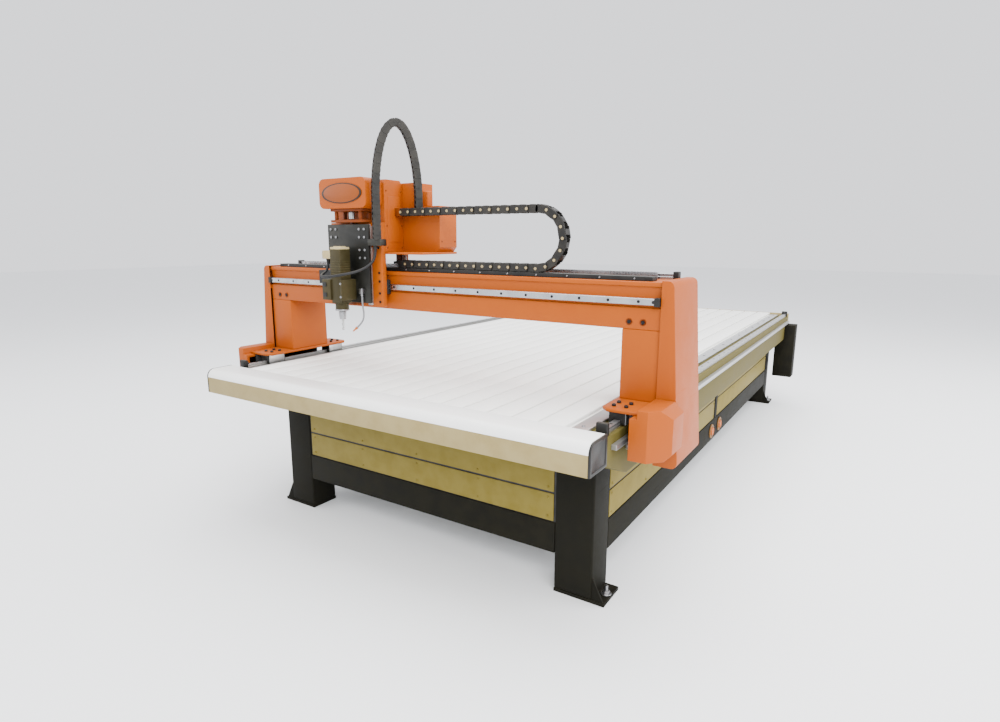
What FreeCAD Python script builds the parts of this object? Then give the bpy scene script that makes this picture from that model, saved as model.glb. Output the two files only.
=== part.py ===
import FreeCAD, Part
import math
import os
import re

import Sketcher

# A gantry CNC router with a long T-slot table, in millimetres.
# X runs along the gantry, Y along the bed (the operator stands at -Y) and Z is up.
# The origin is on the floor, in the middle of the four feet.

SIZES = {
    # bed frame
    "foot_half_width": 906,
    "foot_half_length": 1925,
    "leg_width": 171,
    "leg_depth": 155,
    "leg_top": 585,
    "foot_thick": 14,
    "foot_lip": 55,
    "anchor_radius": 9,
    "tie_low": 169,
    "tie_high": 303,
    "tie_depth": 80,
    "head_low": 560,
    "beam_outer": 1030,
    "beam_inner": 850,
    "beam_low": 585,
    "beam_high": 775,
    "cross_height": 75,
    "cross_width": 90,
    "post_width": 60,
    "panel_thick": 4,
    "panel_gap": 9,
    "panel_split": 430,
    "port_radius": 45,
    "bracket_drop": 255,
    "bracket_top": 715,
    "bracket_inward": 70,
    "bracket_outward": 85,
    "bracket_depth": 130,
    # table
    "table_half": 885,
    "table_front": -2151,
    "table_back": 1934,
    "table_top": 800,
    "plank_slot": 10,
    "slot_undercut": 6,
    "slot_floor": 8,
    "fascia_half": 1033,
    "fascia_depth": 134,
    "fascia_low": 684,
    "fascia_high": 761,
    "nose_radius": 37,
    "cap_thick": 9,
    "trim_width": 62,
    # Y axis
    "y_rail_x": 1002,
    "y_rail_width": 25,
    "y_rail_height": 22,
    "y_rail_front": -2085,
    "y_rail_back": 1905,
    "block_length": 95,
    "block_width": 66,
    "run_clearance": 0.5,
    "y_rack_low": 722,
    "rack_size": 20,
    # gantry
    "gantry_front": -1827,
    "column_depth": 245,
    "column_inner": 950,
    "column_outer": 1098,
    "beam_bottom": 1112,
    "beam_top": 1290,
    "band_low": "=beam_top - 95",
    "band_high": "=beam_top - 18",
    "band_depth": 8,
    "plate_low": 829,
    "plate_thick": 12,
    "plate_inner": 941,
    "plate_outer": 1096,
    "plate_front": -1991,
    "plate_back": -1437,
    "cover_front": -1837,
    "cover_back": -1535,
    "cover_low": 600,
    "cover_high": "=beam_top + 6",
    "cover_out_low": 1192,
    "cover_out_high": 1142,
    "cover_wall": 3,
    "tab_length": 62,
    "tab_width": 20,
    "drive_front": -2035,
    "drive_back": -1841,
    "drive_low": 676,
    "drive_high": 862,
    "drive_inner": 1072,
    "drive_outer": 1206,
    "drive_bevel_x": 68,
    "drive_bevel_y": 74,
    "y_motor_length": 78,
    "pinion_radius": 20,
    "tooth_depth": 3,
    "pinion_width": 18,
    # X axis
    "x_rail_z": "=beam_top - 72",
    "x_rail_half": 1075,
    "x_rail_height": 24,
    "top_rail_y": -1625,
    "x_rack_y": -1656,
    "tray_half": 1020,
    "chain_y": -1773,
    "chain_width": 46,
    "chain_height": 36,
    "tray_height": 17,
    "chain_low": "=beam_top + tray_height",
    "chain_outer_radius": 137,
    "chain_bend_x": 553,
    "chain_fixed_x": -150,
    "chain_moving_x": "=carriage_x + saddle_half + 37",
    "bracket_length": 36,
    # carriage
    "carriage_x": -370,
    "saddle_half": 163,
    "saddle_front": -1890,
    "saddle_thick": 30,
    "saddle_low": 1125,
    "saddle_high": 1515,
    "roof_low": "=beam_top + 81",
    "roof_thick": 10,
    "roof_right": 13,
    "case_back": -1735,
    "case_high": "=roof_low + 337",
    "motor_case_back": -1605,
    "motor_case_high": "=roof_low + 219",
    # Z axis
    "z_plate_half": 132,
    "z_plate_front": -1940,
    "z_plate_thick": 14,
    "z_plate_low": 1146,
    "z_plate_high": 1506,
    "z_rail_offset": 92,
    "z_rail_width": 20,
    "z_rail_height": 14,
    "screw_radius": 8,
    "screw_y": -1908,
    "head_low_z": 1577,
    "head_high_z": 1712,
    "head_half": 150,
    "head_front": -1966,
    "spindle_y": -1992.5,
    "spindle_half": 32,
    "spindle_low": 1146,
    "spindle_high": 1393,
    "nose_spindle_radius": 31,
    "collet_radius": 18,
    "terminal_length": 58,
    "tool_radius": 6,
    "tool_tip": 1018,
    "arch_right_x": -78,
    "arch_left_x": -186,
    "arch_left_y": -1938,
    "arch_foot": 1440,
    "arch_spring": 1620,
    "arch_crown": 1945,
    "arch_thick": 38,
    "cable_radius": 6,
    "hose_radius": 4,
    "nozzle_length": 26,
}
PLANKS = 16
SPINDLE_CABLE = [
    (-205, -1930, 1409.6),
    (-205, -1930, 1370),
    (-209, -1954, 1328),
    (-240, -2006, 1296),
    (-300, -2062, 1280),
    (-372, -2078, 1270),
    (-438, -2060, 1272),
    (-446, -1996, 1296),
    (-446, -1996, 1348.9),
]
AIR_HOSE = [
    (-282, -1950, 1189.6),
    (-282, -1950, 1140),
    (-266, -1956, 1090),
    (-272, -1966, 1055),
    (-300, -1976, 1030),
]
CROSS_BEAMS = 6
TEETH = 20
TURN_X = FreeCAD.Rotation(FreeCAD.Vector(0, 1, 0), 90)
TURN_Y = FreeCAD.Rotation(FreeCAD.Vector(1, 0, 0), -90)
UPRIGHT = FreeCAD.Rotation()

doc = FreeCAD.newDocument("cnc_router")
dims = doc.addObject("Spreadsheet::Sheet", "dims")
for row, (alias, size) in enumerate(SIZES.items(), start=1):
    dims.set(f"A{row}", alias)
    dims.set(f"B{row}", str(size))
    dims.setAlias(f"B{row}", alias)
doc.recompute()

WORDS = re.compile(r"\b(" + "|".join(sorted(SIZES, key=len, reverse=True)) + r")\b")
nodes = []


def bound(text):
    """Returns an expression on the sheet, from one written with the sizes' own names."""
    return WORDS.sub(r"dims.\1", str(text))


def size_of(text):
    """Returns the value of a text written with the sizes' names."""
    return float(dims.evalExpression(bound(text)))


def place(piece, start, turn=UPRIGHT):
    """Puts a piece at a start point given as three size texts, turned by a rotation."""
    piece.Placement = FreeCAD.Placement(FreeCAD.Vector(), turn)
    for axis, text in zip("xyz", start):
        piece.setExpression(f"Placement.Base.{axis}", bound(text))
    return piece


def block(name, start, size):
    """Makes a box from its low corner and its three sides."""
    piece = doc.addObject("Part::Box", name)
    for side, text in zip(("Length", "Width", "Height"), size):
        piece.setExpression(side, bound(text))
    return place(piece, start)


def rod(name, start, radius, length, turn=UPRIGHT):
    """Makes a cylinder from the middle of its first end, along Z or a turned Z."""
    piece = doc.addObject("Part::Cylinder", name)
    piece.setExpression("Radius", bound(radius))
    piece.setExpression("Height", bound(length))
    return place(piece, start, turn)


def prism(name, plane, outline, depth, start=("0", "0", "0"), backwards=False):
    """Pads a closed outline, drawn on an origin plane, whose corners are bound to the sheet."""
    body = doc.addObject("PartDesign::Body", name)
    doc.recompute()
    sketch = body.newObject("Sketcher::SketchObject", name + "_outline")
    base = [f for f in body.Origin.OriginFeatures if f.Role == plane + "_Plane"][0]
    sketch.AttachmentSupport = [(base, "")]
    sketch.MapMode = "FlatFace"
    corners = [FreeCAD.Vector(size_of(a), size_of(b), 0) for a, b in outline]
    count = len(corners)
    for i in range(count):
        sketch.addGeometry(Part.LineSegment(corners[i], corners[(i + 1) % count]), False)
    for i in range(count):
        sketch.addConstraint(Sketcher.Constraint("Coincident", i, 2, (i + 1) % count, 1))
    for i, point in enumerate(outline):
        for kind, text in zip(("DistanceX", "DistanceY"), point):
            rule = sketch.addConstraint(Sketcher.Constraint(kind, -1, 1, i, 1, size_of(text)))
            sketch.setExpression(f"Constraints[{rule}]", bound(text))
    pad = body.newObject("PartDesign::Pad", name + "_pad")
    pad.Profile = sketch
    pad.setExpression("Length", bound(depth))
    pad.Reversed = backwards
    sketch.Visibility = False
    doc.recompute()
    return place(body, start)


def rounded(body, radius, wanted):
    """Fillets the edges of a body that a test of their middle point and direction accepts."""
    doc.recompute()
    tip = body.Tip
    names = []
    for i, edge in enumerate(tip.Shape.Edges, start=1):
        middle = edge.valueAt((edge.FirstParameter + edge.LastParameter) / 2)
        along = edge.tangentAt(edge.FirstParameter)
        if wanted(middle, along):
            names.append(f"Edge{i}")
    fillet = body.newObject("PartDesign::Fillet", body.Name + "_rounding")
    fillet.Base = (tip, names)
    fillet.setExpression("Radius", bound(radius))
    body.Tip = fillet
    doc.recompute()
    return body


def cut(name, base, *tools):
    """Takes one or more tools away from a base."""
    piece = doc.addObject("Part::Cut", name)
    piece.Base = base
    piece.Tool = tools[0] if len(tools) == 1 else group(name + "_tools", *tools)
    return piece


def fuse(name, *pieces):
    """Joins touching pieces into one solid."""
    piece = doc.addObject("Part::MultiFuse", name)
    piece.Shapes = list(pieces)
    return piece


def group(name, *pieces):
    """Keeps several solids together under one name."""
    piece = doc.addObject("Part::Compound", name)
    piece.Links = list(pieces)
    return piece


def mirrored(name, piece, normal):
    """Makes the other-hand copy of a piece, across a plane through the origin."""
    copy = doc.addObject("Part::Mirroring", name)
    copy.Source = piece
    copy.Base = FreeCAD.Vector()
    copy.Normal = normal
    return copy


def both_sides(name, piece):
    """Groups a piece with its copy on the other side of the bed."""
    return group(name, piece, mirrored(name + "_left", piece, FreeCAD.Vector(1, 0, 0)))


def node(piece, label):
    """Marks a piece as a finished sub-part with its own name."""
    piece.Label = label
    nodes.append(piece)
    return piece


# ---------------------------------------------------------------- bed frame
def make_feet():
    legs = []
    feet = []
    leg_inner = "foot_half_width - leg_width"
    for end, low in (("front", "-foot_half_length"), ("back", "foot_half_length - leg_depth")):
        legs.append(
            block(
                f"leg_{end}",
                (leg_inner, low, "foot_thick"),
                ("leg_width", "leg_depth", "leg_top - foot_thick"),
            )
        )
        plate = block(
            f"foot_{end}",
            (leg_inner, low, "0"),
            ("leg_width + foot_lip", "leg_depth", "foot_thick"),
        )
        middle = f"{low} + leg_depth / 2"
        bolt_x = "foot_half_width + foot_lip / 2 + 4"
        hole = rod(f"hole_{end}", (bolt_x, middle, "-1"), "anchor_radius", "foot_thick + 2")
        web = prism(
            f"web_{end}",
            "XZ",
            [("foot_half_width", "foot_thick"),
             ("foot_half_width + foot_lip - 6", "foot_thick"),
             ("foot_half_width", "foot_thick + 95")],
            "8",
            ("0", f"{low} + 4", "0"),
            backwards=True,
        )
        feet.append(fuse(f"gusset_foot_{end}", cut(f"drilled_foot_{end}", plate, hole), web))
    for label, pieces in (("bed_legs", legs), ("foot_plates", feet)):
        right = group(label + "_right", *pieces)
        node(both_sides(label, right), label)


def make_frame():
    leg_inner = "foot_half_width - leg_width"
    bay = "foot_half_length - leg_depth"
    ends = []
    for end, low in (("front", "-foot_half_length"), ("back", "foot_half_length - tie_depth")):
        ends.append(
            block(
                f"tie_{end}",
                (f"-({leg_inner})", low, "tie_low"),
                (f"2 * ({leg_inner})", "tie_depth", "tie_high - tie_low"),
            )
        )
        ends.append(
            block(
                f"head_{end}",
                (f"-({leg_inner})", low, "head_low"),
                (f"2 * ({leg_inner})", "tie_depth", "leg_top - head_low"),
            )
        )
    side = block(
        "side_tie",
        ("foot_half_width - tie_depth", f"-({bay})", "tie_low"),
        ("tie_depth", f"2 * ({bay})", "tie_high - tie_low"),
    )
    post = block(
        "post",
        ("foot_half_width - tie_depth", "-post_width / 2", "tie_high"),
        ("tie_depth", "post_width", "beam_low - tie_high"),
    )
    sides = both_sides("side_frames", group("right_side_frame", side, post))
    node(group("frame_rails", sides, *ends), "frame_rails")
    beam = prism(
        "beam",
        "YZ",
        [("table_front", "fascia_low"), ("-foot_half_length", "beam_low"), ("table_back", "beam_low"),
         ("table_back", "beam_high"), ("table_front", "beam_high")],
        "beam_outer - beam_inner",
        ("beam_inner", "0", "0"),
    )
    node(both_sides("side_beams", beam), "side_beams")
    beams = []
    step = f"(table_back - table_front - cross_width) / {CROSS_BEAMS - 1}"
    for i in range(CROSS_BEAMS):
        beams.append(
            block(
                f"cross_{i}",
                ("-beam_inner", f"table_front + {i} * {step}", "beam_high - cross_height"),
                ("2 * beam_inner", "cross_width", "cross_height"),
            )
        )
    node(group("cross_beams", *beams), "cross_beams")


def make_panels():
    leg_inner = "foot_half_width - leg_width"
    bay = "foot_half_length - leg_depth"
    strips = (
        ("low", "tie_high + panel_gap / 2", "panel_split - panel_gap / 2"),
        ("high", "panel_split + panel_gap / 2", "head_low - panel_gap / 2"),
    )
    end_panels = []
    side_panels = []
    for strip, low, high in strips:
        size = (f"2 * ({leg_inner}) - 2 * panel_gap", "panel_thick", f"{high} - ({low})")
        start = f"-({leg_inner}) + panel_gap"
        end_panels.append(block(f"front_{strip}", (start, "-foot_half_length + 3", low), size))
        back_y = "foot_half_length - 3 - panel_thick"
        end_panels.append(block(f"back_{strip}", (start, back_y, low), size))
        for bay_name, start_y in (("near", f"-({bay}) + panel_gap"), ("far", "post_width / 2 + panel_gap")):
            side_panels.append(
                block(
                    f"side_{bay_name}_{strip}",
                    ("foot_half_width - 3 - panel_thick", start_y, low),
                    ("panel_thick", f"{bay} - post_width / 2 - 2 * panel_gap", f"{high} - ({low})"),
                )
            )
    frames = []
    for y in ("-foot_half_length + 3 + panel_thick", "foot_half_length - 3 - panel_thick - 20"):
        frames.append(
            block(
                "panel_bearer",
                (f"-({leg_inner})", y, "tie_high"),
                (f"2 * ({leg_inner})", "20", "head_low - tie_high"),
            )
        )
    side_back = []
    for y in (f"-({bay})", "post_width / 2"):
        side_back.append(
            block(
                "side_bearer",
                ("foot_half_width - 3 - panel_thick - 20", y, "tie_high"),
                ("20", f"{bay} - post_width / 2", "beam_low - tie_high"),
            )
        )
    sides = both_sides("side_panels", group("right_side_panels", *side_panels))
    node(group("bed_panels", sides, *end_panels), "bed_panels")
    right_back = group("right_side_back", *side_back)
    left_back = mirrored("left_side_back", right_back, FreeCAD.Vector(1, 0, 0))
    node(group("panel_backing", *frames, right_back, left_back), "panel_backing")
    ports = []
    for y in ("-100", "100"):
        ring = rod("port_ring", ("foot_half_width", y, "236"), "port_radius", "7", TURN_X)
        knob = rod("port_plug", ("foot_half_width + 7", y, "236"), "port_radius - 17", "9", TURN_X)
        ports.append(fuse("port", ring, knob))
    node(group("port_covers", *ports), "port_covers")
    hanger = prism(
        "hanger",
        "XZ",
        [("beam_outer - bracket_inward", "bracket_drop"), ("beam_outer + bracket_outward", "bracket_drop"),
         ("beam_outer + bracket_outward", "bracket_top"), ("beam_outer", "bracket_top"),
         ("beam_outer", "beam_low"), ("beam_outer - bracket_inward", "beam_low")],
        "bracket_depth",
        ("0", "table_back - bracket_depth", "0"),
        backwards=True,
    )
    node(hanger, "rear_hanger_post")


# ---------------------------------------------------------------- table
def make_table():
    pitch = f"2 * table_half / {PLANKS}"
    low = "beam_high"
    lip = "slot_floor + 7"
    side = f"{pitch} - plank_slot / 2"
    outline = [
        ("plank_slot / 2", "table_top"),
        ("plank_slot / 2", f"{low} + {lip}"),
        ("plank_slot / 2 + slot_undercut", f"{low} + {lip}"),
        ("plank_slot / 2 + slot_undercut", f"{low} + slot_floor"),
        ("0.05", f"{low} + slot_floor"),
        ("0.05", low),
        (f"{pitch} - 0.05", low),
        (f"{pitch} - 0.05", f"{low} + slot_floor"),
        (f"{side} - slot_undercut", f"{low} + slot_floor"),
        (f"{side} - slot_undercut", f"{low} + {lip}"),
        (side, f"{low} + {lip}"),
        (side, "table_top"),
    ]
    planks = []
    for i in range(PLANKS):
        start = (f"{i} * {pitch} - table_half", "table_front", "0")
        planks.append(
            prism(f"plank_{i}", "XZ", outline, "table_back - table_front", start, backwards=True)
        )
    node(group("table_planks", *planks), "table_planks")
    trim = block(
        "trim",
        ("table_half + 4", "table_front", "beam_high"),
        ("trim_width", "table_back - table_front", "12"),
    )
    node(both_sides("side_trims", trim), "side_trims")


def make_fascia():
    nose = prism(
        "nose",
        "YZ",
        [("0", "fascia_high"), ("0", "table_top"), ("fascia_depth", "table_top"),
         ("fascia_depth", "fascia_high")],
        "2 * fascia_half",
        ("-fascia_half", "table_front - fascia_depth", "0"),
    )
    rounded(nose, "nose_radius", lambda p, d: abs(d.x) > 0.9 and p.y < 1 and p.z > size_of("table_top") - 1)
    node(nose, "front_nose")
    back = "fascia_depth"
    wall = "6"
    channel = prism(
        "channel",
        "YZ",
        [("0", "fascia_low"), (back, "fascia_low"), (back, f"fascia_low + {wall}"),
         (wall, f"fascia_low + {wall}"), (wall, "fascia_high"), ("0", "fascia_high")],
        "2 * fascia_half",
        ("-fascia_half", "table_front - fascia_depth", "0"),
    )
    cap = prism(
        "cap",
        "YZ",
        [("0", "fascia_low"), ("0", "table_top"), ("fascia_depth + 4", "table_top"),
         ("fascia_depth + 4", "fascia_low")],
        "cap_thick",
        ("fascia_half", "table_front - fascia_depth", "0"),
    )
    rounded(cap, "nose_radius", lambda p, d: abs(d.x) > 0.9 and p.y < 1 and p.z > size_of("table_top") - 1)
    node(both_sides("fascia_end_caps", cap), "fascia_end_caps")
    rear = block(
        "rear",
        ("-fascia_half", "table_back", "beam_low + 60"),
        ("2 * fascia_half", "28", "table_top - beam_low - 60"),
    )
    node(group("table_fascias", channel, rear), "table_fascias")


# ---------------------------------------------------------------- Y axis
def make_y_axis():
    rail = block(
        "y_rail",
        ("y_rail_x - y_rail_width / 2", "y_rail_front", "beam_high"),
        ("y_rail_width", "y_rail_back - y_rail_front", "y_rail_height"),
    )
    node(both_sides("y_rails", rail), "y_rails")
    rack = block(
        "y_rack",
        ("beam_outer", "y_rail_front", "y_rack_low"),
        ("rack_size", "y_rail_back - y_rail_front", "rack_size"),
    )
    node(both_sides("y_racks", rack), "y_racks")
    stops = []
    for y in ("y_rail_front - 26", "y_rail_back + 6"):
        stops.append(
            block("y_stop", ("y_rail_x - 22", y, "beam_high"), ("44", "20", "46"))
        )
    node(both_sides("y_stops", group("right_stops", *stops)), "y_stops")


def make_gantry_feet():
    inner = "plate_inner"
    outer = "plate_outer"
    chamfer = "26"
    plate = prism(
        "foot_plate",
        "XY",
        [(inner, f"plate_front + {chamfer}"), (f"{inner} + {chamfer}", "plate_front"),
         (outer, "plate_front"), (outer, "plate_back"),
         (f"{inner} + {chamfer}", "plate_back"), (inner, f"plate_back - {chamfer}")],
        "plate_thick",
        ("0", "0", "plate_low"),
    )
    bolts = []
    for y in ("plate_front + 45", "plate_front + 95", "plate_back - 95", "plate_back - 45"):
        for x in ("y_rail_x - 24", "y_rail_x + 24"):
            bolts.append(rod("foot_bolt", (x, y, "plate_low + plate_thick"), "8", "9"))
    node(both_sides("foot_base_plates", plate), "gantry_base_plates")
    node(both_sides("foot_bolts", group("right_foot_bolts", *bolts)), "base_plate_bolts")
    blocks = []
    for y in ("plate_front + 22", "plate_back - 22 - block_length"):
        body = block(
            "y_block",
            ("y_rail_x - block_width / 2", y, "beam_high + 6"),
            ("block_width", "block_length", "plate_low - beam_high - 6"),
        )
        slot = block(
            "y_block_slot",
            ("y_rail_x - y_rail_width / 2 - run_clearance", f"{y} - 1", "beam_high"),
            ("y_rail_width + 2 * run_clearance", "block_length + 2", "y_rail_height + run_clearance"),
        )
        blocks.append(cut("y_bearing", body, slot))
    node(both_sides("y_bearing_blocks", group("right_y_blocks", *blocks)), "y_bearing_blocks")


def make_columns():
    column = block(
        "column",
        ("column_inner", "gantry_front", "plate_low + plate_thick"),
        ("column_outer - column_inner", "column_depth", "beam_bottom - plate_low - plate_thick"),
    )
    node(both_sides("columns", column), "gantry_columns")
    girder = prism(
        "girder",
        "YZ",
        [("0", "beam_bottom"), ("column_depth", "beam_bottom"), ("column_depth", "beam_top"),
         ("0", "beam_top"), ("0", "band_high"), ("band_depth", "band_high"),
         ("band_depth", "band_low"), ("0", "band_low")],
        "2 * column_outer",
        ("-column_outer", "gantry_front", "0"),
    )
    node(girder, "gantry_beam")


def side_cover(name, grow):
    """One tapered outer shell of a gantry side, larger or smaller by grow."""
    shell = prism(
        name,
        "XZ",
        [("column_outer", f"cover_low - {grow}"),
         (f"cover_out_low + {grow}", f"cover_low - {grow}"),
         (f"cover_out_high + {grow}", f"cover_high + {grow}"),
         ("column_outer", f"cover_high + {grow}")],
        f"cover_back - cover_front + 2 * {grow}",
        ("0", f"cover_front - {grow}", "0"),
        backwards=True,
    )
    outer_x = size_of("column_outer") + 5
    rounded(shell, f"24 + {grow}", lambda p, d: abs(d.y) > 0.9 and p.x > outer_x)
    return shell


def make_covers():
    shell = cut("right_shell", side_cover("cover_skin", "0"), side_cover("cover_core", "(-cover_wall)"))
    tabs = []
    for z in ("plate_low + 60", "beam_bottom + 60"):
        for y in ("cover_front + cover_wall - 1", "cover_back - cover_wall - tab_length + 1"):
            tabs.append(
                block("cover_tab", ("column_outer", y, z), ("tab_width", "tab_length", "tab_width"))
            )
    shell = fuse("tabbed_shell", shell, *tabs)
    node(both_sides("side_shells", shell), "side_covers")


def drive_cover(name, grow, low_y, high_y):
    """The housing over one Y motor, larger or smaller by grow, with its outer front corner cut off."""
    whole = prism(
        name,
        "XZ",
        [(f"drive_inner - {grow}", f"drive_low - {grow}"),
         (f"drive_outer + {grow} - 22", f"drive_low - {grow}"),
         (f"drive_outer + {grow}", f"drive_low - {grow} + 22"),
         (f"drive_outer + {grow}", f"drive_high + {grow} - 34"),
         (f"drive_outer + {grow} - 34", f"drive_high + {grow}"),
         (f"plate_outer + 3 - {grow}", f"drive_high + {grow}"),
         (f"plate_outer + 3 - {grow}", f"plate_low + {grow}"),
         (f"drive_inner - {grow}", f"plate_low + {grow}")],
        f"{high_y} - ({low_y})",
        ("0", low_y, "0"),
        backwards=True,
    )
    corner = prism(
        f"{name}_corner",
        "XY",
        [(f"drive_outer + {grow} - drive_bevel_x", f"{low_y} - 1"),
         (f"drive_outer + {grow} + 1", f"{low_y} - 1"),
         (f"drive_outer + {grow} + 1", f"{low_y} + drive_bevel_y"),
         (f"drive_outer + {grow}", f"{low_y} + drive_bevel_y"),
         (f"drive_outer + {grow} - drive_bevel_x", low_y)],
        "drive_high - drive_low + 20",
        ("0", "0", "drive_low - 10"),
    )
    return cut(f"{name}_bevelled", whole, corner)


def make_y_drives():
    skin = drive_cover("drive_skin", "0", "drive_front", "drive_back")
    core = drive_cover("drive_core", "(-3)", "drive_front + 3", "drive_back - 3")
    window = block(
        "drive_window",
        ("drive_inner - 5", "drive_front + 18", "drive_low + 6"),
        ("12", "drive_back - drive_front - 36", "plate_low - drive_low - 20"),
    )
    shell = cut("drive_shell", skin, group("drive_hollow", core, window))
    node(both_sides("drive_shells", shell), "drive_covers")
    axis_y = "(drive_front + drive_back) / 2"
    axis_z = "y_rack_low - pinion_radius"
    bracket_x = "beam_outer + rack_size + 5"
    arm = block(
        "drive_arm",
        (bracket_x, "drive_front + 50", "drive_low + 8"),
        ("12", "drive_back - drive_front - 70", "plate_low - drive_low - 8"),
    )
    hole = rod("drive_arm_hole", (f"{bracket_x} - 1", axis_y, axis_z), "14", "14", TURN_X)
    bracket = cut("drive_bracket", arm, hole)
    box = block(
        "reducer",
        (f"{bracket_x} + 12", f"{axis_y} - 40", f"{axis_z} - 18"),
        ("34", "80", "92"),
    )
    bore = rod("reducer_bore", (f"{bracket_x} + 11", axis_y, axis_z), "9.5", "26", TURN_X)
    reducer = cut("bored_reducer", box, bore)
    motor = block(
        "y_motor",
        (f"{bracket_x} + 46", f"{axis_y} - 40", f"{axis_z} - 5"),
        ("y_motor_length", "80", "80"),
    )
    unit = group("right_gear_motor", bracket, reducer, motor)
    node(both_sides("y_gear_motors", unit), "y_gear_motors")
    return axis_y, axis_z, bracket_x


def gear(name, centre, axis, width):
    """A spur pinion with trapezoid teeth about an axis along X or Z, with its shaft's bore filled."""
    outer = size_of("pinion_radius") - 0.3
    root = outer - size_of("tooth_depth")
    points = []
    for i in range(TEETH):
        start = 2 * math.pi * i / TEETH
        for share, radius in ((-0.32, root), (-0.14, outer), (0.14, outer), (0.32, root)):
            turn = start + share * 2 * math.pi / TEETH
            points.append(FreeCAD.Vector(radius * math.cos(turn), radius * math.sin(turn), 0))
    face = Part.Face(Part.makePolygon(points + points[:1]))
    piece = doc.addObject("Part::Feature", name)
    piece.Shape = face.extrude(FreeCAD.Vector(0, 0, size_of(width)))
    return place(piece, centre, axis)


def make_y_pinions(axis_y, axis_z, bracket_x):
    for side in ("right", "left"):
        wheel = gear(f"{side}_wheel", (f"{bracket_x} - 4 - pinion_width", axis_y, axis_z), TURN_X, "pinion_width")
        shaft = rod(f"{side}_axle", (f"{bracket_x} - 4", axis_y, axis_z), "9", "34", TURN_X)
        pinion = fuse(f"{side}_pinion_turned", wheel, shaft)
        if side == "left":
            pinion = mirrored("left_pinion_copy", pinion, FreeCAD.Vector(1, 0, 0))
        node(pinion, f"{side}_y_pinion")


# ---------------------------------------------------------------- X axis
def make_x_axis():
    front = block(
        "x_rail",
        ("-x_rail_half", "gantry_front + band_depth - x_rail_height", "x_rail_z - 12"),
        ("2 * x_rail_half", "x_rail_height", "24"),
    )
    top = block(
        "top_rail",
        ("-x_rail_half", "top_rail_y - 12", "beam_top"),
        ("2 * x_rail_half", "24", "22"),
    )
    rack = block("rack", ("-tray_half", "x_rack_y - 8", "beam_top"), ("2 * tray_half", "16", "28"))
    node(group("x_rails_and_rack", front, top, rack), "x_rails_and_rack")
    stops = []
    for x in ("-x_rail_half - 22", "x_rail_half"):
        stops.append(block("x_stop", (x, "gantry_front - 22", "x_rail_z - 16"), ("22", "22", "32")))
        stops.append(block("x_top_stop", (x, "top_rail_y - 16", "beam_top"), ("22", "32", "30")))
    node(group("x_stops", *stops), "x_stops")
    tray_thick = "chain_low - beam_top"
    tray = block(
        "tray",
        ("-tray_half", "chain_y - chain_width / 2 - 4", "beam_top"),
        ("2 * tray_half", "chain_width + 8", tray_thick),
    )
    groove = block(
        "tray_groove",
        ("-tray_half - 1", "chain_y - chain_width / 2 - 1", "beam_top + 4"),
        ("2 * tray_half + 2", "chain_width + 2", tray_thick),
    )
    floor = block(
        "tray_floor",
        ("-tray_half", "chain_y - chain_width / 2 - 1", "beam_top + 4"),
        ("2 * tray_half", "chain_width + 2", f"{tray_thick} - 4"),
    )
    ends = [fuse("tray_body", cut("tray_channel", tray, groove), floor)]
    for x in ("-tray_half - 30", "tray_half"):
        ends.append(
            block("tray_end", (x, "chain_y - chain_width / 2 - 4", "beam_top"), ("30", "chain_width + 8", "chain_low - beam_top - 0.5"))
        )
    anchor = block(
        "anchor",
        ("chain_fixed_x - 44", "chain_y - chain_width / 2", "chain_low"),
        ("44 - 0.3", "chain_width", "chain_height"),
    )
    node(group("chain_tray", anchor, *ends), "chain_tray")


def make_chain():
    low_y = "chain_y - chain_width / 2"
    run = block(
        "lower_run",
        ("chain_fixed_x", low_y, "chain_low"),
        ("chain_bend_x - chain_fixed_x - 0.3", "chain_width", "chain_height"),
    )
    node(run, "chain_lower_run")
    centre_z = "chain_low + chain_outer_radius"
    disc = rod("loop_disc", ("chain_bend_x", low_y, centre_z), "chain_outer_radius", "chain_width", TURN_Y)
    hub = rod(
        "loop_hub",
        ("chain_bend_x", f"{low_y} - 1", centre_z),
        "chain_outer_radius - chain_height",
        "chain_width + 2",
        TURN_Y,
    )
    half = block(
        "loop_half",
        ("chain_bend_x - chain_outer_radius - 1", f"{low_y} - 1", "chain_low - 1"),
        ("chain_outer_radius + 1", "chain_width + 2", "2 * chain_outer_radius + 2"),
    )
    node(cut("loop", disc, group("loop_cutters", hub, half)), "chain_bend_loop")
    upper = block(
        "upper_run",
        ("chain_moving_x", low_y, "chain_low + 2 * chain_outer_radius - chain_height"),
        ("chain_bend_x - chain_moving_x - 0.3", "chain_width", "chain_height"),
    )
    node(upper, "chain_upper_run")


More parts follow.
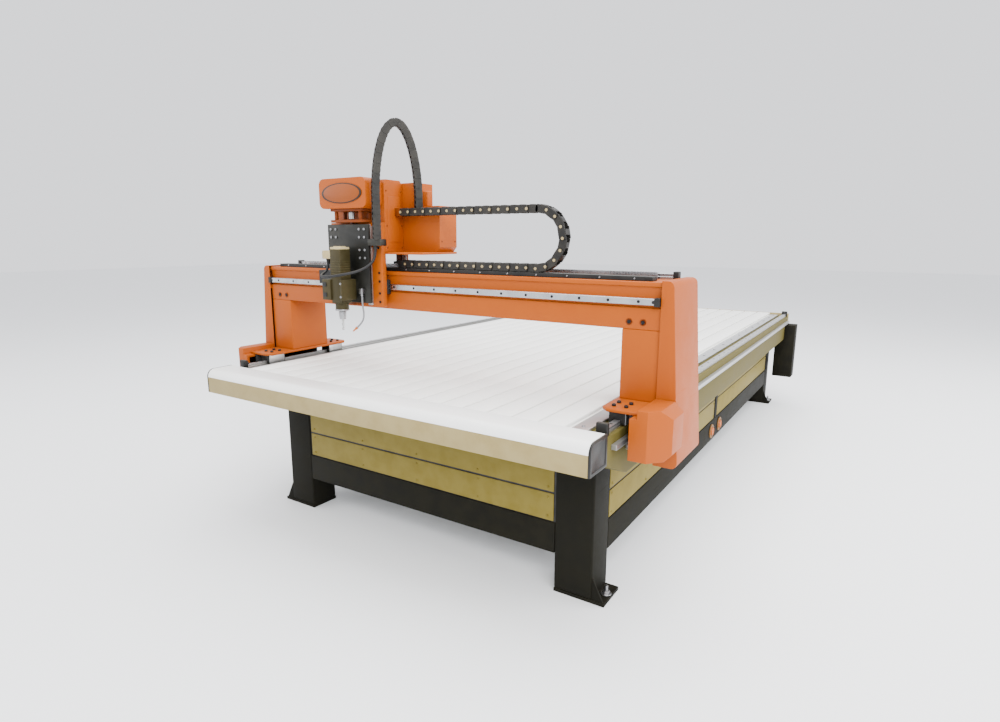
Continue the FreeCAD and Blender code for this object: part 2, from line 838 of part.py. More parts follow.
# ---------------------------------------------------------------- carriage
def make_carriage():
    left = "carriage_x - saddle_half"
    width = "2 * saddle_half"
    back = "saddle_front + saddle_thick"
    saddle = block("saddle", (left, "saddle_front", "saddle_low"), (width, "saddle_thick", "saddle_high - saddle_low"))
    node(saddle, "saddle_plate")
    blocks = []
    seat = "gantry_front + band_depth"
    for x in ("carriage_x - saddle_half + 6", "carriage_x + saddle_half - 96"):
        body = block(
            "x_block",
            (x, back, "x_rail_z - 34"),
            ("90", "gantry_front - 2 - (saddle_front + saddle_thick)", "68"),
        )
        slot = block(
            "x_block_slot",
            (f"{x} - 1", f"{seat} - x_rail_height - run_clearance", "x_rail_z - 12 - run_clearance"),
            ("92", "x_rail_height + 10", "24 + 2 * run_clearance"),
        )
        blocks.append(cut("x_bearing", body, slot))
    body = block("top_block", ("carriage_x + 12", "top_rail_y - 22", "beam_top + 5"), ("90", "44", "35"))
    slot = block(
        "top_block_slot",
        ("carriage_x + 11", "top_rail_y - 12 - run_clearance", "beam_top"),
        ("92", "24 + 2 * run_clearance", "22 + run_clearance"),
    )
    blocks.append(cut("top_bearing", body, slot))
    wiper = block(
        "wiper",
        (f"{left} - 120", "saddle_front + 14", "x_rail_z + 2"),
        ("120", "gantry_front - 6 - (saddle_front + 14)", "66"),
    )
    channel = block(
        "wiper_channel",
        (f"{left} - 121", f"{seat} - x_rail_height - run_clearance", "x_rail_z"),
        ("122", "x_rail_height + 10", "12 + 2 + run_clearance"),
    )
    blocks.append(cut("x_wiper", wiper, channel))
    node(group("x_bearing_blocks", *blocks), "x_bearing_blocks")
    roof = block(
        "roof",
        (left, back, "roof_low"),
        (f"roof_right - ({left})", f"motor_case_back - ({back})", "roof_thick"),
    )
    shaft_x = "carriage_x + 120"
    shaft_y = "x_rack_y - 8 - pinion_radius - 0.2"
    hole = rod("roof_hole", (shaft_x, shaft_y, "roof_low - 1"), "16", "roof_thick + 2")
    node(cut("carriage_roof", roof, hole), "carriage_roof")
    post = block(
        "post_rear",
        ("carriage_x + 30", "top_rail_y - 22", "beam_top + 40"),
        ("54", "34", "roof_low - beam_top - 40"),
    )
    case_low = "roof_low + roof_thick"
    skin = prism(
        "case_skin",
        "YZ",
        [(back, case_low), ("case_back", case_low), ("case_back", "case_high - 22"),
         ("case_back - 16", "case_high"), (f"{back} + 12", "case_high"), (back, "case_high - 16")],
        width,
        (left, "0", "0"),
    )
    core = prism(
        "case_core",
        "YZ",
        [(f"{back} + 3", f"{case_low} - 1"), ("case_back - 3", f"{case_low} - 1"),
         ("case_back - 3", "case_high - 24"), ("case_back - 18", "case_high - 3"),
         (f"{back} + 14", "case_high - 3"), (f"{back} + 3", "case_high - 18")],
        f"{width} - 6",
        (f"{left} + 3", "0", "0"),
    )
    node(cut("case_shell", skin, core), "carriage_cover")
    motor_skin = prism(
        "motor_skin",
        "XZ",
        [(left, case_low), ("roof_right - 18", case_low), ("roof_right", f"{case_low} + 22"),
         ("roof_right", "motor_case_high"), ("carriage_x + 240", "motor_case_high"),
         ("carriage_x + 240", "case_high - 10"), (left, "case_high - 10")],
        "motor_case_back - case_back",
        ("0", "case_back", "0"),
        backwards=True,
    )
    motor_core = prism(
        "motor_core",
        "XZ",
        [(f"{left} + 3", f"{case_low} - 1"), ("roof_right - 22", f"{case_low} - 1"),
         ("roof_right - 3", f"{case_low} + 23"),
         ("roof_right - 3", "motor_case_high - 3"), ("carriage_x + 237", "motor_case_high - 3"),
         ("carriage_x + 237", "case_high - 13"), (f"{left} + 3", "case_high - 13")],
        "motor_case_back - case_back - 6",
        ("0", "case_back + 3", "0"),
        backwards=True,
    )
    node(cut("motor_case_shell", motor_skin, motor_core), "rear_motor_case")
    motor = block("x_motor_body", (f"{shaft_x} - 43", f"{shaft_y} - 43", case_low), ("86", "86", "120"))
    bore = rod("x_motor_bore", (shaft_x, shaft_y, f"{case_low} - 1"), "10", "31")
    node(cut("bored_x_motor", motor, bore), "x_motor")
    wheel = gear("x_wheel", (shaft_x, shaft_y, "beam_top + 6"), UPRIGHT, "pinion_width")
    axle = rod("x_axle", (shaft_x, shaft_y, "beam_top + 6 + pinion_width"), "9.5", f"{case_low} + 28 - (beam_top + 6 + pinion_width)")
    node(fuse("x_pinion_turned", wheel, axle), "x_pinion")
    bracket = block(
        "moving_bracket",
        ("chain_moving_x - bracket_length", "chain_y - chain_width / 2",
         "chain_low + 2 * chain_outer_radius - chain_height"),
        ("bracket_length - 0.3", "case_back - (chain_y - chain_width / 2)", "chain_height"),
    )
    node(group("carriage_brackets", post, bracket), "carriage_brackets")


def make_z_axis():
    seat = "saddle_front"
    rails = []
    for side in ("-", "+"):
        rails.append(
            block(
                "z_rail",
                (f"carriage_x {side} z_rail_offset - z_rail_width / 2", f"{seat} - z_rail_height", "saddle_low + 8"),
                ("z_rail_width", "z_rail_height", "saddle_high - saddle_low - 16"),
            )
        )
    node(group("z_rails", *rails), "z_rails")
    bearings = []
    for name, z in (("low", "saddle_low + 6"), ("high", "saddle_high - 30")):
        body = block(
            f"screw_{name}",
            ("carriage_x - 26", "z_plate_front + z_plate_thick + 1", z),
            ("52", "saddle_front - (z_plate_front + z_plate_thick + 1)", "24"),
        )
        bore = rod(f"screw_bore_{name}", ("carriage_x", "screw_y", f"{z} - 1"), "screw_radius + 0.1", "26")
        bearings.append(cut(f"screw_support_{name}", body, bore))
    deck = block(
        "deck",
        ("carriage_x - 100", "z_plate_front - 6", "saddle_high"),
        ("200", "saddle_front + saddle_thick - (z_plate_front - 6)", "12"),
    )
    shelf = block(
        "shelf",
        ("carriage_x - 100", "z_plate_front - 6", "head_low_z - 12"),
        ("200", "saddle_front + saddle_thick - (z_plate_front - 6)", "12"),
    )
    holes = rod("deck_hole", ("carriage_x", "screw_y", "saddle_high - 1"), "15", "100")
    posts = []
    for x in ("carriage_x - 78", "carriage_x + 78"):
        for y in ("z_plate_front + 10", "saddle_front + 14"):
            posts.append(rod("standoff", (x, y, "saddle_high + 12"), "9", "head_low_z - saddle_high - 24"))
    shelves = (cut("deck_bored", deck, holes), cut("shelf_bored", shelf, holes))
    node(group("z_screw_mount", *shelves, *posts, *bearings), "z_screw_mount")
    motor = block("z_motor_body", ("carriage_x - 40", "screw_y - 40", "head_low_z"), ("80", "80", "100"))
    bore = rod("z_motor_bore", ("carriage_x", "screw_y", "head_low_z - 1"), "9", "30")
    node(cut("bored_z_motor", motor, bore), "z_motor")
    skin = prism(
        "head_skin",
        "XZ",
        [("carriage_x - head_half", "head_low_z"), ("carriage_x + head_half", "head_low_z"),
         ("carriage_x + head_half", "head_high_z"), ("carriage_x - head_half", "head_high_z")],
        "saddle_front + saddle_thick - head_front",
        ("0", "head_front", "0"),
        backwards=True,
    )
    rounded(skin, "30", lambda p, d: abs(d.y) > 0.9)
    core = prism(
        "head_core",
        "XZ",
        [("carriage_x - head_half + 3", "head_low_z + 3"), ("carriage_x + head_half - 3", "head_low_z + 3"),
         ("carriage_x + head_half - 3", "head_high_z - 3"), ("carriage_x - head_half + 3", "head_high_z - 3")],
        "saddle_front + saddle_thick - head_front",
        ("0", "head_front + 3", "0"),
        backwards=True,
    )
    rounded(core, "27", lambda p, d: abs(d.y) > 0.9)
    mouth = block(
        "head_mouth",
        ("carriage_x - 102", "z_plate_front - 8", "head_low_z - 1"),
        ("204", "100", "6"),
    )
    node(cut("head_shell", skin, group("head_hollow", core, mouth)), "z_head_cover")
    badge = prism(
        "badge",
        "XZ",
        [("carriage_x - head_half + 22", "head_low_z + 22"), ("carriage_x + head_half - 22", "head_low_z + 22"),
         ("carriage_x + head_half - 22", "head_high_z - 22"), ("carriage_x - head_half + 22", "head_high_z - 22")],
        "5",
        ("0", "head_front", "0"),
    )
    rounded(badge, "34", lambda p, d: abs(d.y) > 0.9)
    node(badge, "head_badge_plate")
    screw = rod("screw", ("carriage_x", "screw_y", "saddle_low + 8"), "screw_radius", "head_low_z + 28 - (saddle_low + 8)")
    coupling = rod("coupling", ("carriage_x", "screw_y", "saddle_high + 16"), "13.5", "head_low_z - saddle_high - 32")
    node(fuse("screw_and_coupling", screw, coupling), "z_ball_screw")


def make_z_slide():
    back = "z_plate_front + z_plate_thick"
    plate = block(
        "z_plate_body",
        ("carriage_x - z_plate_half", "z_plate_front", "z_plate_low"),
        ("2 * z_plate_half", "z_plate_thick", "z_plate_high - z_plate_low"),
    )
    blocks = []
    for side in ("-", "+"):
        for z in ("z_plate_high - 166", "z_plate_high - 72"):
            body = block(
                "z_block",
                (f"carriage_x {side} z_rail_offset - 25", back, z),
                ("50", f"saddle_front - 3 - ({back})", "64"),
            )
            slot = block(
                "z_block_slot",
                (f"carriage_x {side} z_rail_offset - z_rail_width / 2 - run_clearance",
                 "saddle_front - z_rail_height - run_clearance", f"{z} - 1"),
                ("z_rail_width + 2 * run_clearance", "z_rail_height + 10", "66"),
            )
            blocks.append(cut("z_bearing", body, slot))
    nut = block("nut_block", ("carriage_x - 24", back, "z_plate_high - 130"), ("48", f"saddle_front - 3 - ({back})", "44"))
    bore = rod("nut_bore", ("carriage_x", "screw_y", "z_plate_high - 131"), "screw_radius + 0.1", "46")
    blocks.append(cut("screw_nut", nut, bore))
    node(group("z_bearing_blocks", *blocks), "z_bearing_blocks")
    body = block(
        "spindle_case",
        ("carriage_x - spindle_half", "spindle_y - spindle_half", "spindle_low"),
        ("2 * spindle_half", "2 * spindle_half", "spindle_high - spindle_low"),
    )
    nose = rod("spindle_nose", ("carriage_x", "spindle_y", "spindle_low - 34"), "nose_spindle_radius", "34")
    shaft_hole = rod("spindle_bore", ("carriage_x", "spindle_y", "spindle_low - 35"), "12.1", "221")
    node(cut("spindle_bored", fuse("spindle_blank", body, nose), shaft_hole), "spindle_body")
    ring = block(
        "clamp_ring",
        ("carriage_x - 86", "z_plate_front - 92", "spindle_low + 14"),
        ("86 + spindle_half + 12", "92", "96"),
    )
    room = block(
        "clamp_room",
        ("carriage_x - spindle_half", "z_plate_front - 93", "spindle_low + 13"),
        ("2 * spindle_half", "spindle_y + spindle_half - (z_plate_front - 93)", "98"),
    )
    node(cut("clamp", ring, room), "spindle_clamp")
    node(
        block(
            "terminal_box",
            ("carriage_x - spindle_half - terminal_length", "spindle_y - 26", "spindle_high - 44"),
            ("terminal_length", "52", "38"),
        ),
        "terminal_box",
    )
    shaft = rod("shaft", ("carriage_x", "spindle_y", "spindle_low - 40"), "12", "220")
    node(shaft, "spindle_shaft")
    collet = rod("collet", ("carriage_x", "spindle_y", "spindle_low - 76"), "collet_radius", "36")
    bore = rod("collet_bore", ("carriage_x", "spindle_y", "spindle_low - 77"), "tool_radius", "38")
    node(cut("collet_bored", collet, bore), "collet_nut")
    tool = rod("tool", ("carriage_x", "spindle_y", "tool_tip"), "tool_radius", "spindle_low - 40 - tool_tip")
    node(tool, "cutting_tool")
    gland = block(
        "chain_lug",
        ("carriage_x + z_plate_half", "z_plate_front - 6", "arch_foot - 30.3"),
        ("arch_left_x + 26 - (carriage_x + z_plate_half)", "42", "30"),
    )
    node(fuse("z_plate", plate, gland), "z_plate")


def cord_path(points):
    """Straight runs joined by tangent arcs through a route's points."""
    edges = []
    last = points[0]
    for before, corner, after in zip(points, points[1:], points[2:]):
        back = (before - corner).normalize()
        ahead = (after - corner).normalize()
        turn = math.pi - back.getAngle(ahead)
        shorter = min(before.distanceToPoint(corner), corner.distanceToPoint(after))
        radius = 0.45 * shorter / math.tan(turn / 2)
        start = corner + back * 0.45 * shorter
        end = corner + ahead * 0.45 * shorter
        inward = (back + ahead).normalize()
        middle = corner + inward * (radius / math.cos(turn / 2) - radius)
        edges.append(Part.LineSegment(last, start).toShape())
        edges.append(Part.Arc(start, middle, end).toShape())
        print("bend radius", round(radius, 1))
        last = end
    edges.append(Part.LineSegment(last, points[-1]).toShape())
    return Part.Wire(edges)


def cord(name, points, radius_name):
    """A cable's solid along its route."""
    route = [FreeCAD.Vector(*p) for p in points]
    path = cord_path(route)
    radius = size_of(radius_name)
    ring = Part.Wire(Part.makeCircle(radius, route[0], route[1] - route[0]))
    tube = path.makePipeShell([ring], True, True)
    print(name, "length", round(path.Length, 1), "volume share", tube.Volume / (math.pi * radius**2 * path.Length))
    piece = doc.addObject("Part::Feature", name)
    piece.Shape = tube
    return piece


def make_cables():
    node(cord("spindle_cable", SPINDLE_CABLE, "cable_radius"), "spindle_cable")
    node(cord("air_hose", AIR_HOSE, "hose_radius"), "air_hose")
    start = FreeCAD.Vector(*AIR_HOSE[-1])
    along = start - FreeCAD.Vector(*AIR_HOSE[-2])
    jet = doc.addObject("Part::Cone", "jet")
    jet.setExpression("Radius1", bound("hose_radius + 1.5"))
    jet.setExpression("Radius2", bound("hose_radius - 1.5"))
    jet.setExpression("Height", bound("nozzle_length"))
    jet.Placement = FreeCAD.Placement(start, FreeCAD.Rotation(FreeCAD.Vector(0, 0, 1), along))
    clip = block(
        "hose_clip",
        (f"{AIR_HOSE[0][0]} - 11", "z_plate_front - 20", f"{AIR_HOSE[0][2]}"),
        ("22", "20", "24"),
    )
    node(group("hose_fittings", clip, jet), "hose_fittings")


def arch_section(grow):
    """The half-oval outline of the standing chain, with its two straight feet."""
    span = math.hypot(
        size_of("arch_right_x - arch_left_x"), size_of("chain_y - arch_left_y")
    )
    half = span / 2 + grow
    spring = size_of("arch_spring")
    crown = size_of("arch_crown") - spring + grow
    return half, spring, crown, span


def make_arch():
    thick = size_of("arch_thick")
    faces = []
    for grow in (thick / 2, -thick / 2):
        half, spring, crown, span = arch_section(grow)
        tall = Part.Ellipse(FreeCAD.Vector(0, 0, 0), max(crown, half + 0.01), half)
        curve = Part.Arc(tall, -math.pi / 2, math.pi / 2).toShape()
        curve.rotate(FreeCAD.Vector(), FreeCAD.Vector(0, 0, 1), 90)
        curve.rotate(FreeCAD.Vector(), FreeCAD.Vector(1, 0, 0), 90)
        curve.translate(FreeCAD.Vector(0, 0, spring))
        foot_left = size_of("arch_foot")
        foot_right = size_of("chain_low + 2 * chain_outer_radius + 0.3")
        points = [
            FreeCAD.Vector(-half, 0, spring),
            FreeCAD.Vector(-half, 0, foot_left),
            FreeCAD.Vector(half, 0, foot_left),
            FreeCAD.Vector(half, 0, spring),
        ]
        faces.append(Part.Face(Part.Wire([curve] + Part.makePolygon(points).Edges)))
    width = size_of("chain_width") - 6
    slab = faces[0].cut(faces[1]).extrude(FreeCAD.Vector(0, width, 0))
    slab.translate(FreeCAD.Vector(0, -width / 2, 0))
    trim = Part.makeBox(400, 400, foot_right - foot_left, FreeCAD.Vector(0, -200, foot_left))
    slab = slab.cut(trim)
    turn = math.degrees(
        math.atan2(size_of("chain_y - arch_left_y"), size_of("arch_right_x - arch_left_x"))
    )
    piece = doc.addObject("Part::Feature", "arch")
    piece.Shape = slab
    middle = ("(arch_left_x + arch_right_x) / 2", "(arch_left_y + chain_y) / 2", "0")
    place(piece, middle, FreeCAD.Rotation(FreeCAD.Vector(0, 0, 1), turn))
    node(piece, "z_chain_arch")


make_feet()
make_frame()
make_panels()
make_table()
make_fascia()
make_y_axis()
make_gantry_feet()
make_columns()
make_covers()
make_y_pinions(*make_y_drives())
make_x_axis()
make_chain()
make_carriage()
make_z_axis()
make_z_slide()
make_arch()
make_cables()

doc.recompute()
for piece in doc.Objects:
    if "Invalid" in piece.State or "Error" in piece.State:
        raise RuntimeError(f"{piece.Name} failed: {piece.State}")
for piece in nodes:
    if piece.Shape.isNull() or not piece.Shape.isValid() or not piece.Shape.Solids:
        raise RuntimeError(f"{piece.Label} has no valid solid")
os.makedirs("parts", exist_ok=True)
for piece in nodes:
    piece.Shape.exportStep(f"parts/{piece.Label}.step")
print(len(nodes), "sub-parts,", sum(len(p.Shape.Solids) for p in nodes), "solids")
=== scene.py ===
import logging
import math
from dataclasses import dataclass, replace
from enum import Enum
from typing import Callable, Sequence

import bmesh
import bpy
from mathutils import Matrix, Vector


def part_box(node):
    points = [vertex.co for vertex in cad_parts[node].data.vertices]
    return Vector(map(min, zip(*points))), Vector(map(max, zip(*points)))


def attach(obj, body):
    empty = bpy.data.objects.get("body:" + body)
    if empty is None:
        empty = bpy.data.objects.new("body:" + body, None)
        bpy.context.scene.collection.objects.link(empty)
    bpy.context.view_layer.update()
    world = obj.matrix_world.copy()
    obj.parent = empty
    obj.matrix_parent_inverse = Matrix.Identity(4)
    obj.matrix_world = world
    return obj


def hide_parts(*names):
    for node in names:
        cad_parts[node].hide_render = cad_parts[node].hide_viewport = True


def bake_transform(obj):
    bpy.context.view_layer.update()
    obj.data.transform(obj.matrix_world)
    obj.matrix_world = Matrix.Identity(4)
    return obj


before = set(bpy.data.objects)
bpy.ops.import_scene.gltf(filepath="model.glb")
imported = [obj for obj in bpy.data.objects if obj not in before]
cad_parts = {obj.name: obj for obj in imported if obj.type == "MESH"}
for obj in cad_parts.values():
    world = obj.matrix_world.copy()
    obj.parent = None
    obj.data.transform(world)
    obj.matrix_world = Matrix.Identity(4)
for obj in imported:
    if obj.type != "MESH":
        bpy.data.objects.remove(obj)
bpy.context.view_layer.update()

log = logging.getLogger("router")
Point = Sequence[float]
Test = Callable[[Vector, Vector], bool]


def tone(red: int, green: int, blue: int) -> tuple[float, float, float, float]:
    """Turns a screen colour into the linear colour that shaders use.

    Args:
        red: 0 to 255.
        green: 0 to 255.
        blue: 0 to 255.

    Returns:
        The linear colour with full alpha.
    """
    shares = []
    for channel in (red, green, blue):
        share = channel / 255
        shares.append(share / 12.92 if channel <= 10 else ((share + 0.055) / 1.055) ** 2.4)
    return (*shares, 1.0)


class Along(Enum):
    """The row axis that a bar, a grain or a turned part follows."""

    X = Vector((1, 0, 0))
    Y = Vector((0, 1, 0))
    Z = Vector((0, 0, 1))


# ------------------------------------------------------------------ finishes
class Wire:
    """A shader socket that takes part in sums."""

    def __init__(self, graph: "Graph", socket: bpy.types.NodeSocket) -> None:
        """Wraps one output socket of a graph."""
        self.graph = graph
        self.socket = socket

    def _sum(self, operation: str, first: "Wire | float", second: "Wire | float") -> "Wire":
        """Adds one Math node."""
        return self.graph.node("ShaderNodeMath", {"operation": operation}, {0: first, 1: second})

    def __add__(self, other: "Wire | float") -> "Wire":
        """Adds."""
        return self._sum("ADD", self, other)

    def __radd__(self, other: float) -> "Wire":
        """Adds, with the plain number first."""
        return self._sum("ADD", other, self)

    def __sub__(self, other: "Wire | float") -> "Wire":
        """Takes away."""
        return self._sum("SUBTRACT", self, other)

    def __rsub__(self, other: float) -> "Wire":
        """Takes this away from a plain number."""
        return self._sum("SUBTRACT", other, self)

    def __mul__(self, other: "Wire | float") -> "Wire":
        """Multiplies."""
        return self._sum("MULTIPLY", self, other)

    def __rmul__(self, other: float) -> "Wire":
        """Multiplies, with the plain number first."""
        return self._sum("MULTIPLY", other, self)

    def above(self, low: float, high: float) -> "Wire":
        """Rises from 0 at low to 1 at high."""
        span = {0: self, 1: low, 2: high, 3: 0.0, 4: 1.0}
        return self.graph.node("ShaderNodeMapRange", {"clamp": True}, span)


class Graph:
    """The node tree of one material."""

    def __init__(self, name: str) -> None:
        """Starts an empty material."""
        self.material = bpy.data.materials.new(name)
        self.material.use_nodes = True
        self.tree = self.material.node_tree
        self.tree.nodes.clear()

    def node(
        self, kind: str, settings: dict | None = None, inputs: dict | None = None, output: int | str = 0
    ) -> Wire:
        """Adds a node.

        Args:
            kind: the node's type.
            settings: its properties, which are set first.
            inputs: a value or a wire for each input socket, by name or place.
            output: the output socket wanted.

        Returns:
            The wanted output.
        """
        made = self.tree.nodes.new(kind)
        for name, value in (settings or {}).items():
            setattr(made, name, value)
        for name, value in (inputs or {}).items():
            if isinstance(value, Wire):
                self.tree.links.new(value.socket, made.inputs[name])
            else:
                made.inputs[name].default_value = value
        return Wire(self, made.outputs[output])

    def noise(self, place: Wire, scale: float, detail: float = 3.0, stretch: Point = (1, 1, 1)) -> Wire:
        """Gives a soft random value from 0 to 1, stretched along the axes if asked."""
        turned = self.node("ShaderNodeMapping", {}, {"Vector": place, "Scale": tuple(stretch)})
        return self.node("ShaderNodeTexNoise", {}, {"Vector": turned, "Scale": scale, "Detail": detail})

    def mixed(self, share: "Wire | float", first: "Wire | tuple", second: "Wire | tuple") -> Wire:
        """Mixes two colours."""
        return self.node("ShaderNodeMix", {"data_type": "RGBA"}, {"Factor": share, 6: first, 7: second}, 2)

    def closed(self, surface: Wire) -> bpy.types.Material:
        """Joins the shader to the material's output and returns the material."""
        out = self.tree.nodes.new("ShaderNodeOutputMaterial")
        self.tree.links.new(surface.socket, out.inputs["Surface"])
        return self.material


@dataclass(frozen=True)
class Finish:
    """A surface finish: its colours, gloss, grain and wear."""

    name: str
    colour: tuple
    worn: tuple
    roughness: float = 0.45
    metallic: float = 0.0
    grain: float = 240.0
    stretch: tuple = (1.0, 1.0, 1.0)
    bump: float = 0.05
    dust: float = 0.15
    wear: float = 0.35
    shine: float = 0.3

    def darker(self, share: float) -> tuple:
        """The finish's colour at a share of its brightness."""
        return (*(channel * share for channel in self.colour[:3]), 1.0)

    def material(self) -> bpy.types.Material:
        """Builds the material, or finds it if it has been built."""
        found = bpy.data.materials.get(self.name)
        if found:
            return found
        graph = Graph(self.name)
        place = graph.node("ShaderNodeTexCoord", output="Object")
        shape = graph.node("ShaderNodeNewGeometry", output="Pointiness")
        facing = graph.node("ShaderNodeNewGeometry", output="Normal")
        upward = graph.node("ShaderNodeSeparateXYZ", {}, {0: facing}, 2).above(0.6, 1.0)
        broad = graph.noise(place, 2.3, 4.0)
        cloud = graph.noise(place, 14.0, 5.0)
        grain = graph.noise(place, self.grain, 2.0, self.stretch)
        scratch = graph.noise(place, 60.0, 6.0, (1.0, 0.08, 1.0)).above(0.66, 0.72)
        edge = shape.above(0.53, 0.62) * self.wear * cloud.above(0.35, 0.6)
        mottled = graph.mixed(broad * 0.3, self.colour, self.darker(0.8))
        grained = graph.mixed(grain * 0.12, mottled, self.darker(0.65))
        rubbed = graph.mixed(edge + scratch * 0.06 * self.wear, grained, self.worn)
        dusty = graph.mixed(upward * cloud * self.dust, rubbed, tone(190, 180, 160))
        rough = self.roughness + (cloud - 0.5) * 0.18 + upward * self.dust * 0.4
        rough = rough + scratch * 0.1 + (grain - 0.5) * 0.1
        relief = graph.node(
            "ShaderNodeBump", {}, {"Strength": self.bump, "Distance": 0.0006, "Height": grain + scratch * 0.4}
        )
        surface = graph.node(
            "ShaderNodeBsdfPrincipled",
            {},
            {"Base Color": dusty, "Roughness": rough, "Metallic": self.metallic,
             "Specular IOR Level": self.shine, "Normal": relief},
        )
        return graph.closed(surface)


ORANGE = Finish(
    "orange_paint", tone(158, 72, 0), tone(190, 108, 10), 0.48, bump=0.10, dust=0.01, wear=0.2, shine=0.2
)
ORANGE_DEEP = replace(
    ORANGE, name="orange_paint_deep", colour=tone(108, 46, 0), worn=tone(150, 78, 8), roughness=0.5
)
OLIVE = Finish(
    "olive_paint", tone(14, 13, 6), tone(52, 48, 32), 0.7, bump=0.12, dust=0.02, wear=0.25, shine=0.12
)
# A paler copy of the frame's olive paint for the long side beams: painted light, standing for the side light
# on their faces; the legs keep the darker olive.
OLIVE_SIDE_LIT = replace(
    OLIVE, name="olive_paint_with_painted_side_light", colour=tone(82, 74, 32), worn=tone(124, 114, 68),
    roughness=0.66, shine=0.15,
)
KHAKI = Finish("khaki_paint", tone(112, 98, 34), tone(150, 136, 80), 0.64, bump=0.12, dust=0.02, shine=0.2)
FASCIA = Finish("fascia_paint", tone(142, 126, 82), tone(176, 164, 124), 0.6, bump=0.08, dust=0.02, shine=0.2)
WHITE = Finish(
    "white_table", tone(250, 250, 246), tone(226, 224, 216), 0.38, grain=90.0,
    stretch=(1.0, 0.02, 1.0), bump=0.10, dust=0.03, wear=0.2,
)
NOSE = Finish("white_nose", tone(250, 250, 247), tone(230, 228, 222), 0.32, bump=0.04, dust=0.03)
# Black plastic; also put on the panel backing, where the black is painted shade for the dark gap at the bed
# panels.
BLACK = Finish("black_plastic_and_painted_shade", tone(16, 16, 15), tone(54, 52, 48), 0.5, bump=0.25, dust=0.08, wear=0.5)
SLATE = Finish(
    "black_anodised", tone(14, 14, 10), tone(84, 82, 74), 0.42, 0.3, bump=0.08, dust=0.06, wear=0.5
)
STRIP = Finish(
    "anodised_strip", tone(200, 202, 204), tone(230, 230, 230), 0.34, 1.0, grain=160.0,
    stretch=(1.0, 0.02, 1.0), bump=0.12, dust=0.2,
)
STEEL = Finish(
    "ground_steel", tone(178, 180, 183), tone(215, 215, 215), 0.27, 1.0, grain=300.0,
    stretch=(1.0, 0.02, 1.0), bump=0.10, dust=0.12,
)
STEEL_X = replace(STEEL, name="ground_steel_across", stretch=(0.02, 1.0, 1.0))
ZINC = Finish("zinc_bolt", tone(150, 150, 152), tone(205, 205, 205), 0.35, 1.0, bump=0.2, dust=0.2)
DARK_BOLT = Finish("blackened_bolt", tone(38, 38, 40), tone(130, 130, 130), 0.38, 0.8, bump=0.2)
MOTOR = Finish("motor_black", tone(18, 18, 17), tone(70, 68, 64), 0.46, 0.2, bump=0.3, dust=0.08)
SPINDLE = Finish(
    "spindle_bronze", tone(50, 44, 22), tone(110, 100, 70), 0.46, 0.25,
    bump=0.12, dust=0.02, wear=0.3, shine=0.2,
)
BOX = Finish("terminal_beige", tone(168, 150, 104), tone(210, 200, 164), 0.5, bump=0.15, dust=0.08)
PORT = Finish("port_ring", tone(122, 84, 38), tone(170, 140, 90), 0.5, bump=0.2, dust=0.05)
PORT_CAP = Finish("port_plug", tone(172, 84, 16), tone(206, 130, 60), 0.5, bump=0.2, dust=0.05)
PIN = Finish("chain_pin", tone(150, 134, 96), tone(190, 176, 140), 0.5, bump=0.1, dust=0.05)
CHAIN = Finish("chain_plastic", tone(20, 19, 17), tone(62, 58, 50), 0.46, bump=0.3, dust=0.08, wear=0.6)
RUBBER = Finish("cable_sheath", tone(26, 26, 28), tone(60, 60, 60), 0.6, bump=0.3, dust=0.2)
HOSE = Finish("hose_grey", tone(120, 120, 122), tone(160, 160, 160), 0.4, bump=0.1, dust=0.1)
BADGE = Finish("badge_plate", tone(132, 62, 6), tone(170, 100, 30), 0.36, 0.2, bump=0.06, dust=0.02)
BADGE_RIM = Finish("badge_rim", tone(36, 22, 10), tone(80, 60, 40), 0.4, bump=0.06, dust=0.02)


# ------------------------------------------------------------------ modelling
def put_down() -> None:
    """Leaves edit mode and deselects every object."""
    if bpy.context.object and bpy.context.object.mode != "OBJECT":
        bpy.ops.object.mode_set(mode="OBJECT")
    bpy.ops.object.select_all(action="DESELECT")


